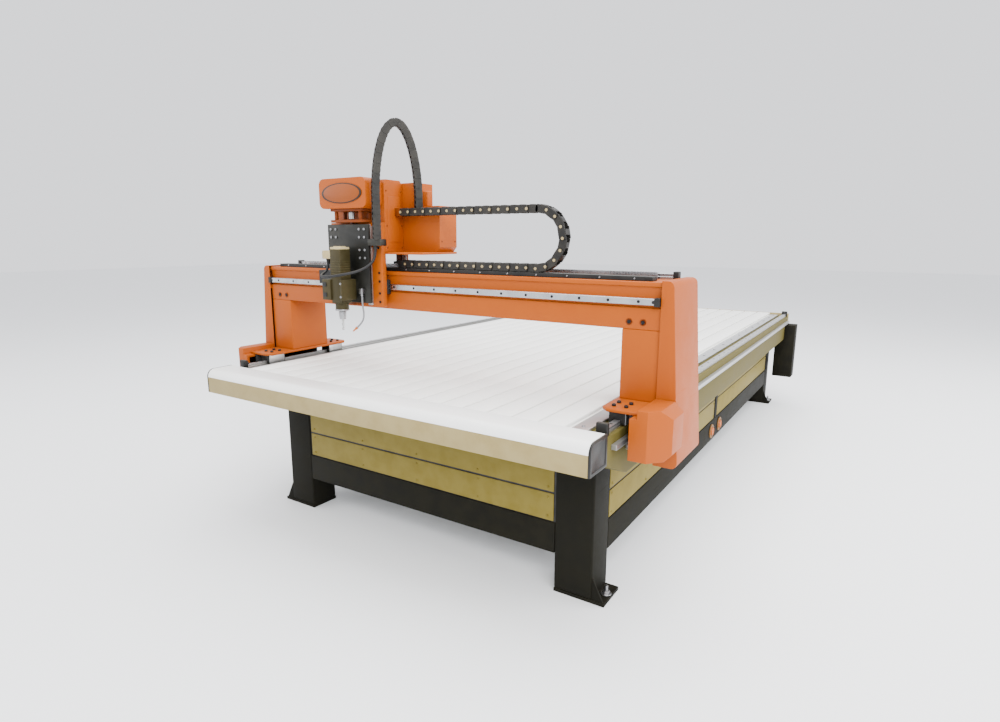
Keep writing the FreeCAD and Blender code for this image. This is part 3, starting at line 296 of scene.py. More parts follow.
class Piece:
    """One mesh on the bench, shaped with the modelling operators."""

    def __init__(self, obj: bpy.types.Object, name: str) -> None:
        """Takes an object in hand under its own name."""
        self.obj = obj
        obj.name = name
        obj.data.name = name

    @classmethod
    def block(cls, name: str, low: Point, high: Point) -> "Piece":
        """Starts from a box between two corners."""
        put_down()
        middle = [(a + b) / 2 for a, b in zip(low, high)]
        size = [b - a for a, b in zip(low, high)]
        bpy.ops.mesh.primitive_cube_add(size=1, location=middle, scale=size)
        bpy.ops.object.transform_apply(location=True, rotation=True, scale=True)
        return cls(bpy.context.object, name)

    @classmethod
    def drum(
        cls, name: str, start: Point, end: Point, radius: float, tip: float | None = None, sides: int = 28
    ) -> "Piece":
        """Starts from a turned bar between two points, tapered if a tip radius is given."""
        put_down()
        first, last = Vector(start), Vector(end)
        way = last - first
        turn = way.to_track_quat("Z", "Y").to_euler()
        bpy.ops.mesh.primitive_cone_add(
            vertices=sides, radius1=radius, radius2=radius if tip is None else tip,
            depth=way.length, location=(first + last) / 2, rotation=turn,
        )
        bpy.ops.object.transform_apply(location=True, rotation=True, scale=True)
        return cls(bpy.context.object, name)

    @classmethod
    def traced(cls, name: str, outline: Sequence[Point], along: Point) -> "Piece":
        """Draws a closed outline point by point and extrudes it along a vector."""
        put_down()
        bpy.ops.mesh.primitive_plane_add(size=0.01, location=(0, 0, 0))
        piece = cls(bpy.context.object, name)
        bpy.ops.object.mode_set(mode="EDIT")
        bpy.ops.mesh.select_mode(type="VERT")
        bpy.ops.mesh.select_all(action="SELECT")
        bpy.ops.mesh.merge(type="CENTER")
        bpy.ops.transform.translate(value=tuple(outline[0]))
        for before, after in zip(outline, outline[1:]):
            step = tuple(b - a for a, b in zip(before, after))
            bpy.ops.mesh.extrude_region_move(TRANSFORM_OT_translate={"value": step})
        bpy.ops.mesh.select_all(action="SELECT")
        bpy.ops.mesh.edge_face_add()
        bpy.ops.mesh.extrude_region_move(TRANSFORM_OT_translate={"value": tuple(along)})
        bpy.ops.mesh.select_all(action="SELECT")
        bpy.ops.mesh.normals_make_consistent(inside=False)
        bpy.ops.object.mode_set(mode="OBJECT")
        return piece

    @classmethod
    def from_node(cls, node: str, name: str) -> "Piece":
        """Starts from a copy of a CAD node's surface, welded and with its flat faces made whole."""
        put_down()
        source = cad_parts[node]
        obj = bpy.data.objects.new(name, source.data.copy())
        bpy.context.scene.collection.objects.link(obj)
        obj.data.materials.clear()
        piece = cls(obj, name)
        piece.hold()
        bpy.ops.object.mode_set(mode="EDIT")
        bpy.ops.mesh.select_all(action="SELECT")
        bpy.ops.mesh.remove_doubles(threshold=0.00002)
        bpy.ops.mesh.dissolve_limited(angle_limit=math.radians(1))
        bpy.ops.object.mode_set(mode="OBJECT")
        return piece

    def hold(self) -> None:
        """Makes this the only selected, active object."""
        put_down()
        self.obj.select_set(True)
        bpy.context.view_layer.objects.active = self.obj

    def pick(self, test: Test) -> None:
        """Enters edit mode with the faces selected whose middle and normal pass a test."""
        self.hold()
        bpy.ops.object.mode_set(mode="EDIT")
        bpy.ops.mesh.select_mode(type="FACE")
        grid = bmesh.from_edit_mesh(self.obj.data)
        for face in grid.faces:
            face.select_set(False)
        for face in grid.faces:
            if test(face.calc_center_median(), face.normal):
                face.select_set(True)
        bmesh.update_edit_mesh(self.obj.data)

    def inset(self, test: Test, width: float, depth: float = 0.0) -> "Piece":
        """Insets the chosen faces one by one, and sinks (or, below zero, raises) them by a depth."""
        self.pick(test)
        bpy.ops.mesh.inset(thickness=width, depth=0.0, use_individual=True)
        if depth:
            bpy.ops.mesh.inset(thickness=abs(depth) * 0.4, depth=-depth, use_individual=True)
        bpy.ops.object.mode_set(mode="OBJECT")
        return self

    def bevel(self, width: float, segments: int = 2, angle: float = 32.0) -> "Piece":
        """Rounds the edges sharper than an angle."""
        self.hold()
        rounding = self.obj.modifiers.new("rounding", "BEVEL")
        rounding.width = width
        rounding.segments = segments
        rounding.limit_method = "ANGLE"
        rounding.angle_limit = math.radians(angle)
        rounding.harden_normals = False
        bpy.ops.object.modifier_apply(modifier=rounding.name)
        return self

    def drill(self, *cutters: "Piece") -> "Piece":
        """Takes cutters away, which are used up."""
        for cutter in cutters:
            self.hold()
            hole = self.obj.modifiers.new("hole", "BOOLEAN")
            hole.operation = "DIFFERENCE"
            hole.solver = "EXACT"
            hole.object = cutter.obj
            bpy.ops.object.modifier_apply(modifier=hole.name)
            bpy.data.objects.remove(cutter.obj)
        return self

    def row(self, count: int, step: Point) -> "Piece":
        """Repeats the piece in an even row."""
        self.hold()
        line = self.obj.modifiers.new("row", "ARRAY")
        line.count = count
        line.use_relative_offset = False
        line.use_constant_offset = True
        line.constant_offset_displace = step
        bpy.ops.object.modifier_apply(modifier=line.name)
        return self

    def paint(self, finish: Finish) -> "Piece":
        """Gives the piece one finish."""
        self.obj.data.materials.clear()
        self.obj.data.materials.append(finish.material())
        return self

    def copied(self, name: str, place: Matrix) -> "Piece":
        """Makes a copy with its own mesh, moved by a matrix."""
        obj = self.obj.copy()
        obj.data = self.obj.data.copy()
        bpy.context.scene.collection.objects.link(obj)
        obj.data.transform(place)
        if place.determinant() < 0:
            obj.data.flip_normals()
        return Piece(obj, name)

    def spread(self, name: str, places: Sequence[Matrix]) -> "Piece":
        """Copies the piece to several places as one piece, and uses up the first."""
        copies = [self.copied(name, place) for place in places]
        bpy.data.objects.remove(self.obj)
        return copies[0].joined(*copies[1:])

    def joined(self, *others: "Piece") -> "Piece":
        """Joins other pieces into this one."""
        if not others:
            return self
        self.hold()
        for other in others:
            other.obj.select_set(True)
        bpy.ops.object.join()
        return self

    def both_sides(self) -> "Piece":
        """Adds the other-hand copy across the middle of the bed."""
        return self.joined(self.copied("other_hand", Matrix.Scale(-1, 4, (1, 0, 0))))

    def named(self, name: str) -> "Piece":
        """Renames the object."""
        self.obj.name = name
        return self

    def smooth(self) -> None:
        """Shades shallow edges smooth and lets go of the piece."""
        self.hold()
        bpy.ops.object.shade_smooth_by_angle(angle=math.radians(34))
        put_down()

    def mount(self, body: str, *nodes: str) -> "Piece":
        """Shades the piece, sets it on its body and lets it stand for CAD nodes."""
        self.smooth()
        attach(self.obj, body)
        if nodes:
            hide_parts(*nodes)
        log.info("%s on %s", self.obj.name, body)
        return self


def at(x: float, y: float, z: float) -> Matrix:
    """A plain move."""
    return Matrix.Translation((x, y, z))


def facing(place: Point, normal: Point) -> Matrix:
    """Turns a piece made along +Z to a normal, at a place."""
    turn = Vector(normal).to_track_quat("Z", "Y").to_matrix().to_4x4()
    return Matrix.Translation(Vector(place)) @ turn


@dataclass
class Fixing:
    """A screw, bolt or nut, made once at the origin and copied."""

    radius: float = 0.006
    height: float = 0.006
    finish: Finish = ZINC

    def socket(self) -> Piece:
        """A cap screw with a hexagon socket."""
        head = Piece.drum("cap_screw", (0, 0, 0), (0, 0, self.height), self.radius, sides=20)
        low, high = (0, 0, self.height * 0.45), (0, 0, self.height * 1.4)
        key = Piece.drum("key", low, high, self.radius * 0.55, sides=6)
        return head.drill(key).bevel(self.radius * 0.1, 2, 40).paint(self.finish)

    def hexagon(self) -> Piece:
        """A hexagon head on its washer."""
        head = Piece.drum("hexagon_head", (0, 0, 0), (0, 0, self.height), self.radius, sides=6)
        head.bevel(self.radius * 0.1, 2, 40)
        low, high = (0, 0, -0.0005), (0, 0, self.height * 0.25)
        washer = Piece.drum("washer", low, high, self.radius * 1.35, sides=20)
        washer.bevel(self.radius * 0.06, 1, 40)
        return head.joined(washer).paint(self.finish)

    def pan(self) -> Piece:
        """A low round-headed panel screw with a cross recess."""
        head = Piece.drum("pan_screw", (0, 0, 0), (0, 0, self.height), self.radius, self.radius * 0.7, 16)
        cross = [
            Piece.block("cross", (-self.radius * x, -self.radius * y, self.height * 0.5),
                        (self.radius * x, self.radius * y, self.height * 1.5))
            for x, y in ((0.5, 0.1), (0.1, 0.5))
        ]
        return head.drill(*cross).paint(self.finish)


def evenly(low: float, high: float, count: int) -> list[float]:
    """Places from low to high, ends included."""
    return [low + (high - low) * i / (count - 1) for i in range(count)]


def softened(node: str, name: str, finish: Finish, width: float, segments: int = 2) -> Piece:
    """A copy of a CAD node with its edges rounded, as folded or machined edges are."""
    return Piece.from_node(node, name).bevel(width, segments).paint(finish)


def dress(body: str, *rows: tuple) -> None:
    """Mounts CAD nodes that need only soft edges and a finish. Each row holds what softened takes."""
    for row in rows:
        softened(*row).mount(body, row[0])


def scrap(pieces: Sequence[Piece]) -> None:
    """Throws away pieces that were made only to be copied."""
    for piece in pieces:
        bpy.data.objects.remove(piece.obj)


# The left half of a guide rail's section: shares of its half width and of its height.
RAIL_SIDE = ((-1, 0), (-1, 0.42), (-0.78, 0.55), (-0.78, 0.72), (-1, 0.84), (-1, 0.96), (-0.92, 1))


def guide_rail(
    name: str, start: Point, along: Along, length: float, width: float, height: float, up: Point
) -> Piece:
    """A profile guide rail with its waist and its bolt wells.

    Args:
        name: the piece's name.
        start: the middle of the rail's base at one end.
        along: the axis it follows.
        length: its length.
        width: its width at the base.
        height: its height.
        up: the way its top faces.

    Returns:
        The finished rail.
    """
    upward = Vector(up)
    side = upward.cross(along.value)
    half = width / 2
    shape = RAIL_SIDE + tuple((-a, b) for a, b in reversed(RAIL_SIDE))
    outline = [Vector(start) + side * (a * half) + upward * (b * height) for a, b in shape]
    rail = Piece.traced(name, outline, along.value * length)
    rail.paint(STEEL_X if along is Along.X else STEEL)
    well = Piece.drum("well", (0, 0, -0.0004), (0, 0, 0.0004), width * 0.24, sides=14)
    well.inset(lambda c, n: n.z > 0.9, width * 0.05, 0.0003).paint(DARK_BOLT)
    count = max(2, round(length / 0.12))
    places = []
    for i in range(count):
        place = Vector(start) + along.value * (length * (i + 0.5) / count) + upward * height
        places.append(facing(place, up))
    return rail.joined(well.spread(name + "_wells", places))


def toothed_bar(name: str, low: Point, high: Point, along: Along, outward: Point, tooth: float) -> Piece:
    """A rack: a bar whose teeth stand on the side that faces the pinion."""
    way = Vector(outward)
    axis = along.value
    across = way.cross(axis)
    first, last = Vector(low), Vector(high)
    size = last - first
    middle = (first + last) / 2
    reach = abs(size.dot(way)) / 2
    root = middle + way * (reach - tooth)
    width = abs(size.dot(across))
    length = abs(size.dot(axis))
    corner_low = [min(a, b) for a, b in zip(first, last)]
    corner_high = list(last)
    for i in range(3):
        if way[i] > 0.5:
            corner_high[i] -= tooth
        if way[i] < -0.5:
            corner_low[i] += tooth
    bar = Piece.block(name, corner_low, corner_high).bevel(0.0008, 1)
    pitch = tooth * 2.1
    count = int(length / pitch)
    start = root - axis * (count * pitch / 2) - across * (width / 2)
    outline = [
        start + axis * (a * pitch) + way * b
        for a, b in ((0.08, -0.0005), (0.3, tooth), (0.62, tooth), (0.84, -0.0005))
    ]
    teeth = Piece.traced(name + "_teeth", outline, across * width).row(count, tuple(axis * pitch))
    return bar.joined(teeth).paint(STEEL_X if along is Along.X else STEEL)


# ------------------------------------------------------------------ studio
@dataclass
class Studio:
    """The floor, the light and the camera."""

    eye: tuple = (1.798, -3.998, 1.440)
    turn: float = 32.714
    pitch: float = 11.264
    roll: float = 0.186
    focal_share: float = 0.6106
    floor_size: float = 60.0

    def camera(self) -> None:
        """Places the camera at the wanted viewing angle."""
        data = bpy.data.cameras.new("view")
        data.sensor_width = 36.0
        data.lens = self.focal_share * data.sensor_width
        data.clip_end = 200.0
        camera = bpy.data.objects.new("view", data)
        bpy.context.scene.collection.objects.link(camera)
        heading = Matrix.Rotation(math.radians(self.turn), 4, "Z")
        tilt = Matrix.Rotation(math.radians(90 - self.pitch), 4, "X")
        roll = Matrix.Rotation(math.radians(self.roll), 4, "Z")
        camera.matrix_world = Matrix.Translation(self.eye) @ heading @ tilt @ roll
        bpy.context.scene.camera = camera

    def lamp(self, name: str, place: Point, aim: Point, size: float, power: float) -> None:
        """Hangs one soft square lamp."""
        data = bpy.data.lights.new(name, "AREA")
        data.size = size
        data.energy = power
        lamp = bpy.data.objects.new(name, data)
        bpy.context.scene.collection.objects.link(lamp)
        lamp.matrix_world = Matrix.Translation(place) @ (
            (Vector(aim) - Vector(place)).to_track_quat("-Z", "Y").to_matrix().to_4x4()
        )

    def light(self) -> None:
        """Sets the soft studio light."""
        self.lamp("key", (4.5, -6.0, 5.5), (0, -1.5, 0.9), 4.5, 760)
        self.lamp("fill", (-5.5, -6.0, 3.5), (0, -1.5, 0.8), 5.0, 170)
        self.lamp("top", (0.5, 0.0, 6.5), (0, 0, 0.8), 7.0, 760)
        self.lamp("side", (6.5, 1.5, 3.0), (0, 0, 0.8), 4.0, 380)
        world = bpy.data.worlds.new("studio")
        world.use_nodes = True
        sky = world.node_tree.nodes["Background"]
        sky.inputs[0].default_value = (0.95, 0.96, 1.0, 1.0)
        sky.inputs[1].default_value = 1.6
        bpy.context.scene.world = world

    def floor(self) -> None:
        """Lays the plain pale floor."""
        put_down()
        bpy.ops.mesh.primitive_plane_add(size=self.floor_size, location=(0, 0, -0.001))
        floor = bpy.context.object
        floor.name = "floor"
        graph = Graph("pale_floor")
        place = graph.node("ShaderNodeTexCoord", output="Object")
        cloud = graph.noise(place, 0.6, 4.0)
        colour = graph.mixed(cloud * 0.3, (0.90, 0.91, 0.92, 1.0), (0.87, 0.88, 0.89, 1.0))
        surface = graph.node("ShaderNodeBsdfPrincipled", {}, {"Base Color": colour, "Roughness": 0.7})
        floor.data.materials.append(graph.closed(surface))


# ------------------------------------------------------------------ cables
@dataclass
class Cables:
    """The spindle's power cable and the air hose, each on one smooth curve."""

    power_diameter: float = 0.012
    power_length: float = 0.477
    hose_diameter: float = 0.008
    hose_length: float = 0.176
    power_route: tuple = (
        (-0.205, -1.930, 1.4096), (-0.205, -1.930, 1.370), (-0.209, -1.954, 1.328), (-0.240, -2.006, 1.296),
        (-0.300, -2.062, 1.280), (-0.372, -2.078, 1.270), (-0.438, -2.060, 1.272), (-0.446, -1.996, 1.296),
        (-0.446, -1.996, 1.3489),
    )
    hose_route: tuple = (
        (-0.282, -1.950, 1.1896), (-0.282, -1.950, 1.140), (-0.266, -1.956, 1.090), (-0.272, -1.966, 1.055),
        (-0.300, -1.976, 1.030),
    )

    def strand(self, name: str, route: Sequence[Point], diameter: float, finish: Finish) -> bpy.types.Object:
        """One cable as a smooth curve through its route."""
        curve = bpy.data.curves.new(name, "CURVE")
        curve.dimensions = "3D"
        curve.bevel_depth = diameter / 2
        curve.bevel_resolution = 6
        curve.resolution_u = 16
        curve.use_fill_caps = True
        spline = curve.splines.new("NURBS")
        spline.points.add(len(route) - 1)
        for point, place in zip(spline.points, route):
            point.co = (*place, 1.0)
        spline.order_u = 3
        spline.use_endpoint_u = True
        cable = bpy.data.objects.new(name, curve)
        bpy.context.scene.collection.objects.link(cable)
        cable.data.materials.append(finish.material())
        return cable

    def gland(self, name: str, place: Point, way: float, radius: float) -> Piece:
        """The ribbed gland where a cable enters a housing, standing up or down by the sign of way."""
        x, y, z = place
        seat, mouth = (x, y, z + 0.008 * way), (x, y, z + 0.022 * way)
        nut = Piece.drum("gland_nut", (x, y, z), seat, radius * 1.75, sides=6).bevel(0.0008, 1)
        sleeve = Piece.drum("gland_sleeve", seat, mouth, radius * 1.5, radius * 1.12, 20)
        return nut.joined(sleeve).bevel(0.0006, 2, 40).paint(BLACK)

    def build(self) -> None:
        """Lays both cables."""
        power = self.strand("power_cable", self.power_route, self.power_diameter, RUBBER)
        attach(power, "z_slide_body")
        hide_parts("spindle_cable")
        hose = self.strand("air_line", self.hose_route, self.hose_diameter, HOSE)
        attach(hose, "z_slide_body")
        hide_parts("air_hose")
        start, end = self.power_route[0], self.power_route[-1]
        glands = self.gland("upper_gland", start, -1, self.power_diameter / 2)
        glands.joined(self.gland("lower_gland", end, -1, self.power_diameter / 2)).mount("z_slide_body")
        tip_from = Vector(self.hose_route[-1])
        way = (tip_from - Vector(self.hose_route[-2])).normalized()
        nozzle = Piece.drum("air_jet", tip_from - way * 0.002, tip_from + way * 0.024, 0.0055, 0.0026, 20)
        collar = Piece.drum("jet_collar", tip_from - way * 0.006, tip_from + way * 0.004, 0.0062, sides=20)
        nozzle.joined(collar.bevel(0.0008, 2)).paint(PORT_CAP).mount("z_slide_body")
        x, y, z = self.hose_route[0]
        elbow = Piece.block("elbow", (x - 0.011, y - 0.010, z), (x + 0.011, y + 0.010, z + 0.024))
        elbow.bevel(0.0025, 3).joined(
            Piece.drum("ring", (x, y, z - 0.010), (x, y, z + 0.001), 0.0068, sides=20).bevel(0.0008, 2)
        )
        elbow.paint(ZINC).mount("z_slide_body", "hose_fittings")


# ------------------------------------------------------------------ bed
@dataclass
class Bed:
    """The welded bed, its panels, the slotted table, the front and the long guides."""

    body: str = "bed"
    frame_edge: float = 0.004
    sheet_edge: float = 0.0012
    anchor_x: float = 0.9375
    anchor_y: float = 1.8475
    port_y: float = 0.100
    port_z: float = 0.236
    port_radius: float = 0.045
    weld_x: float = 0.906
    weld_places: tuple = (-1.85, -1.70, -0.03, 0.03, 1.70, 1.85)
    panel_end: float = 1.922
    panel_side: float = 0.903
    panel_levels: tuple = (0.325, 0.408, 0.452, 0.538)
    panel_places: tuple = (-1.74, -1.32, -0.90, -0.48, -0.06, 0.06, 0.48, 0.90, 1.32, 1.74)
    strip_x: float = 0.920
    strip_top: float = 0.787
    cap_face: float = 1.041
    rail_x: float = 1.002
    rail_width: float = 0.025
    rack_width: float = 0.020
    stop_level: float = 0.798
    stop_faces: tuple = ((-2.091, 1), (1.911, -1))

    def feet(self) -> None:
        """The legs, their foot plates and the floor anchors."""
        dress(self.body, ("bed_legs", "legs", OLIVE, 0.008, 3), ("foot_plates", "feet", OLIVE, 0.003))
        stud = Piece.drum("stud", (0, 0, 0.012), (0, 0, 0.052), 0.008, sides=18).bevel(0.0012, 2).paint(ZINC)
        nut = Fixing(0.0165, 0.014).hexagon()
        nut.obj.data.transform(at(0, 0, 0.0145))
        places = [at(s * self.anchor_x, w * self.anchor_y, 0) for s in (-1, 1) for w in (-1, 1)]
        stud.joined(nut).spread("floor_anchors", places).mount(self.body)

    def steelwork(self) -> None:
        """The rails, side beams, cross beams and the hanging post."""
        dress(
            self.body,
            ("frame_rails", "tie_rails", OLIVE, self.frame_edge),
            # The long beams take the paler olive copy: painted side light on the frame's olive paint.
            ("side_beams", "long_beams", OLIVE_SIDE_LIT, self.frame_edge),
            ("cross_beams", "table_bearers", OLIVE, self.frame_edge),
            ("rear_hanger_post", "rear_post", OLIVE, self.frame_edge),
        )
        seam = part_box("side_beams")[0][2]
        bead = Piece.drum("weld_bead", (0, -0.05, 0), (0, 0.05, 0), 0.004, sides=10)
        bead.bevel(0.001, 1).paint(OLIVE)
        places = [at(self.weld_x, y, seam - 0.001) for y in self.weld_places]
        bead.spread("weld_beads", places).both_sides().mount(self.body)

    def panels(self) -> None:
        """The two strips of thin panels and the screws that hold them."""
        dress(self.body, ("bed_panels", "cover_panels", KHAKI, self.sheet_edge))
        screw = Fixing(0.006, 0.003, KHAKI).pan()
        places = []
        for z in self.panel_levels:
            for x in evenly(-0.70, 0.70, 5):
                places += [facing((x, s * self.panel_end, z), (0, s, 0)) for s in (-1, 1)]
            for y in self.panel_places:
                places += [facing((s * self.panel_side, y, z), (s, 0, 0)) for s in (1, -1)]
        screw.spread("panel_screws", places).mount(self.body)

    def ports(self) -> None:
        """The two cable ports in the lower side rail: a rounded ring and its plug."""
        rings = []
        for y in (-self.port_y, self.port_y):
            back, face = (0.906, y, self.port_z), (0.914, y, self.port_z)
            ring = Piece.drum("ring", back, face, self.port_radius, sides=40)
            ring.inset(lambda c, n: n.x > 0.9, 0.011, 0.004).bevel(0.0018, 3, 25).paint(PORT)
            plug = Piece.drum("plug", (0.909, y, self.port_z), (0.921, y, self.port_z), 0.028, 0.024, 36)
            plug.inset(lambda c, n: n.x > 0.9, 0.005, 0.0015).bevel(0.0012, 2, 25).paint(PORT_CAP)
            rings += [ring, plug]
        rings[0].joined(*rings[1:]).named("cable_ports").mount(self.body, "port_covers")

    def table(self) -> None:
        """The slotted planks and the metal strips beside them."""
        dress(self.body, ("table_planks", "slotted_planks", WHITE, self.sheet_edge))
        strips = softened("side_trims", "edge_strips", STRIP, 0.0015)
        screw = Fixing(0.007, 0.0035, ZINC).socket()
        places = [at(s * self.strip_x, y, self.strip_top) for s in (-1, 1) for y in evenly(-2.08, 1.86, 18)]
        strips.joined(screw.spread("strip_screws", places)).mount(self.body, "side_trims")

    def front(self) -> None:
        """The white nose, the fascia below it and the dark end caps."""
        dress(
            self.body,
            ("front_nose", "white_nose_bar", NOSE, 0.0015),
            ("table_fascias", "fascia_channels", FASCIA, 0.0015),
        )
        caps = softened("fascia_end_caps", "end_caps", BLACK, 0.002)
        caps.inset(lambda c, n: abs(n.x) > 0.95 and abs(c.x) > self.cap_face, 0.010, 0.0025)
        caps.mount(self.body, "fascia_end_caps")

    def guides(self) -> None:
        """The long rails with their racks and end stops."""
        low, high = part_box("y_rails")
        start = (high[0] - self.rail_width / 2, low[1], low[2])
        rail = guide_rail(
            "long_rails", start, Along.Y, high[1] - low[1], self.rail_width, high[2] - low[2], (0, 0, 1)
        )
        rail.both_sides().mount(self.body, "y_rails")
        low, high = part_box("y_racks")
        start = (high[0] - self.rack_width, low[1], low[2])
        rack = toothed_bar("long_racks", start, high, Along.Y, (0, 0, -1), 0.003)
        rack.both_sides().mount(self.body, "y_racks")
        stops = softened("y_stops", "long_stops", BLACK, 0.004, 3)
        bumper = Piece.drum("bumper", (0, 0, -0.001), (0, 0, 0.014), 0.014, 0.011, 24)
        bumper.bevel(0.0025, 3).paint(RUBBER)
        places = [facing((s * self.rail_x, y, self.stop_level), (0, w, 0))
                  for s in (-1, 1) for y, w in self.stop_faces]
        stops.joined(bumper.spread("stop_bumpers", places)).mount(self.body, "y_stops")

    def build(self) -> None:
        """Builds the whole bed."""
        self.feet()
        self.steelwork()
        self.panels()
        self.ports()
        self.table()
        self.front()
        self.guides()


# ------------------------------------------------------------------ gantry
@dataclass
class Gantry:
    """The travelling bridge: feet, columns, beam, covers, drives and the cross guides."""

    body: str = "gantry"
    edge: float = 0.004
    cover_edge: float = 0.006
    front: float = -1.827
    bolt_columns: tuple = (0.978, 1.026)
    bolt_rows: tuple = (-1.946, -1.896, -1.532, -1.482)
    plate_top: float = 0.841
    rail_x: float = 1.002
    seal_faces: tuple = ((-1.969, 1), (-1.874, -1), (-1.554, 1), (-1.459, -1))
    joint_columns: tuple = (0.977, 1.031)
    joint_level: float = 1.140
    front_rail_y: float = -1.819
    front_rail_z: float = 1.218
    top_rail_y: float = -1.625
    beam_top: float = 1.290
    rack_low: tuple = (-1.02, -1.664, 1.290)
    rack_high: tuple = (1.02, -1.648, 1.318)
    stop_face: tuple = (1.075, -1.838)
    rivet_line: tuple = (-1.800, 1.2985)

    def feet(self) -> None:
        """The base plates, their screws and the guide carriages below."""
        dress(self.body, ("gantry_base_plates", "base_plates", ORANGE, 0.0025))
        screw = Fixing(0.008, 0.009, DARK_BOLT).socket()
        places = [at(s * x, y, self.plate_top)
                  for s in (-1, 1) for x in self.bolt_columns for y in self.bolt_rows]
        screw.spread("base_screws", places).mount(self.body, "base_plate_bolts")
        blocks = softened("y_bearing_blocks", "long_carriages", STEEL, 0.0015)
        seal = Piece.block("end_seal", (-0.031, -0.004, 0.783), (0.031, 0.001, 0.826))
        rim = Piece.block("rail_gap", (-0.014, -0.006, 0.770), (0.014, 0.003, 0.7985))
        seal.drill(rim).bevel(0.001, 2).paint(BLACK)
        places = []
        for s in (-1, 1):
            for y, w in self.seal_faces:
                places.append(at(s * self.rail_x, y, 0) @ Matrix.Rotation(0 if w > 0 else math.pi, 4, "Z"))
        blocks.joined(seal.spread("end_seals", places)).mount(self.body, "y_bearing_blocks")

    def frame(self) -> None:
        """The columns and the beam, with the bolts at the joint between them."""
        dress(self.body, ("gantry_columns", "columns", ORANGE, self.edge, 3))
        beam = softened("gantry_beam", "beam", ORANGE, self.edge, 3)
        ring = Piece.drum("bolt_well", (0, 0, -0.0005), (0, 0, 0.0015), 0.013, sides=26)
        ring.inset(lambda c, n: n.z > 0.9, 0.002, 0.0012).paint(ORANGE_DEEP)
        bolt = Fixing(0.007, 0.003, DARK_BOLT).socket()
        bolt.obj.data.transform(at(0, 0, 0.0003))
        places = [facing((s * x, self.front, self.joint_level), (0, -1, 0))
                  for s in (-1, 1) for x in self.joint_columns]
        beam.joined(ring.joined(bolt).spread("joint_bolts", places)).mount(self.body, "gantry_beam")

    def covers(self) -> None:
        """The tapered side covers, and the drive covers at their front with the dark drives behind."""
        dress(
            self.body,
            ("side_covers", "side_shells", ORANGE, self.cover_edge, 4),
            ("drive_covers", "drive_shells", ORANGE, self.edge, 3),
            ("y_gear_motors", "drive_units", MOTOR, 0.003),
        )

    def guides(self) -> None:
        """The front and top cross rails, the rack and the stops."""
        low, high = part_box("x_rails_and_rack")
        length = high[0] - low[0]
        start = (low[0], self.front_rail_y, self.front_rail_z)
        front = guide_rail("front_rail", start, Along.X, length, 0.024, 0.024, (0, -1, 0))
        start = (low[0], self.top_rail_y, self.beam_top)
        top = guide_rail("top_rail", start, Along.X, length, 0.024, 0.022, (0, 0, 1))
        rack = toothed_bar("cross_rack", self.rack_low, self.rack_high, Along.X, (0, -1, 0), 0.003)
        front.joined(top, rack).mount(self.body, "x_rails_and_rack")
        stops = softened("x_stops", "cross_stops", BLACK, 0.003, 3)
        bumper = Piece.drum("bumper", (0, 0, -0.001), (0, 0, 0.010), 0.009, 0.007, 20)
        bumper.bevel(0.0018, 2).paint(RUBBER)
        x, y = self.stop_face
        places = [facing((s * x, y, self.front_rail_z), (-s, 0, 0)) for s in (-1, 1)]
        stops.joined(bumper.spread("cross_bumpers", places)).mount(self.body, "x_stops")
        tray = softened("chain_tray", "tray", BLACK, 0.0015)
        rivet = Fixing(0.004, 0.002, ZINC).pan()
        places = [facing((x, *self.rivet_line), (0, -1, 0)) for x in evenly(-0.98, 0.98, 15)]
        tray.joined(rivet.spread("tray_rivets", places)).mount(self.body, "chain_tray")

    def build(self) -> None:
        """Builds the whole gantry."""
        self.feet()
        self.frame()
        self.covers()
        self.guides()


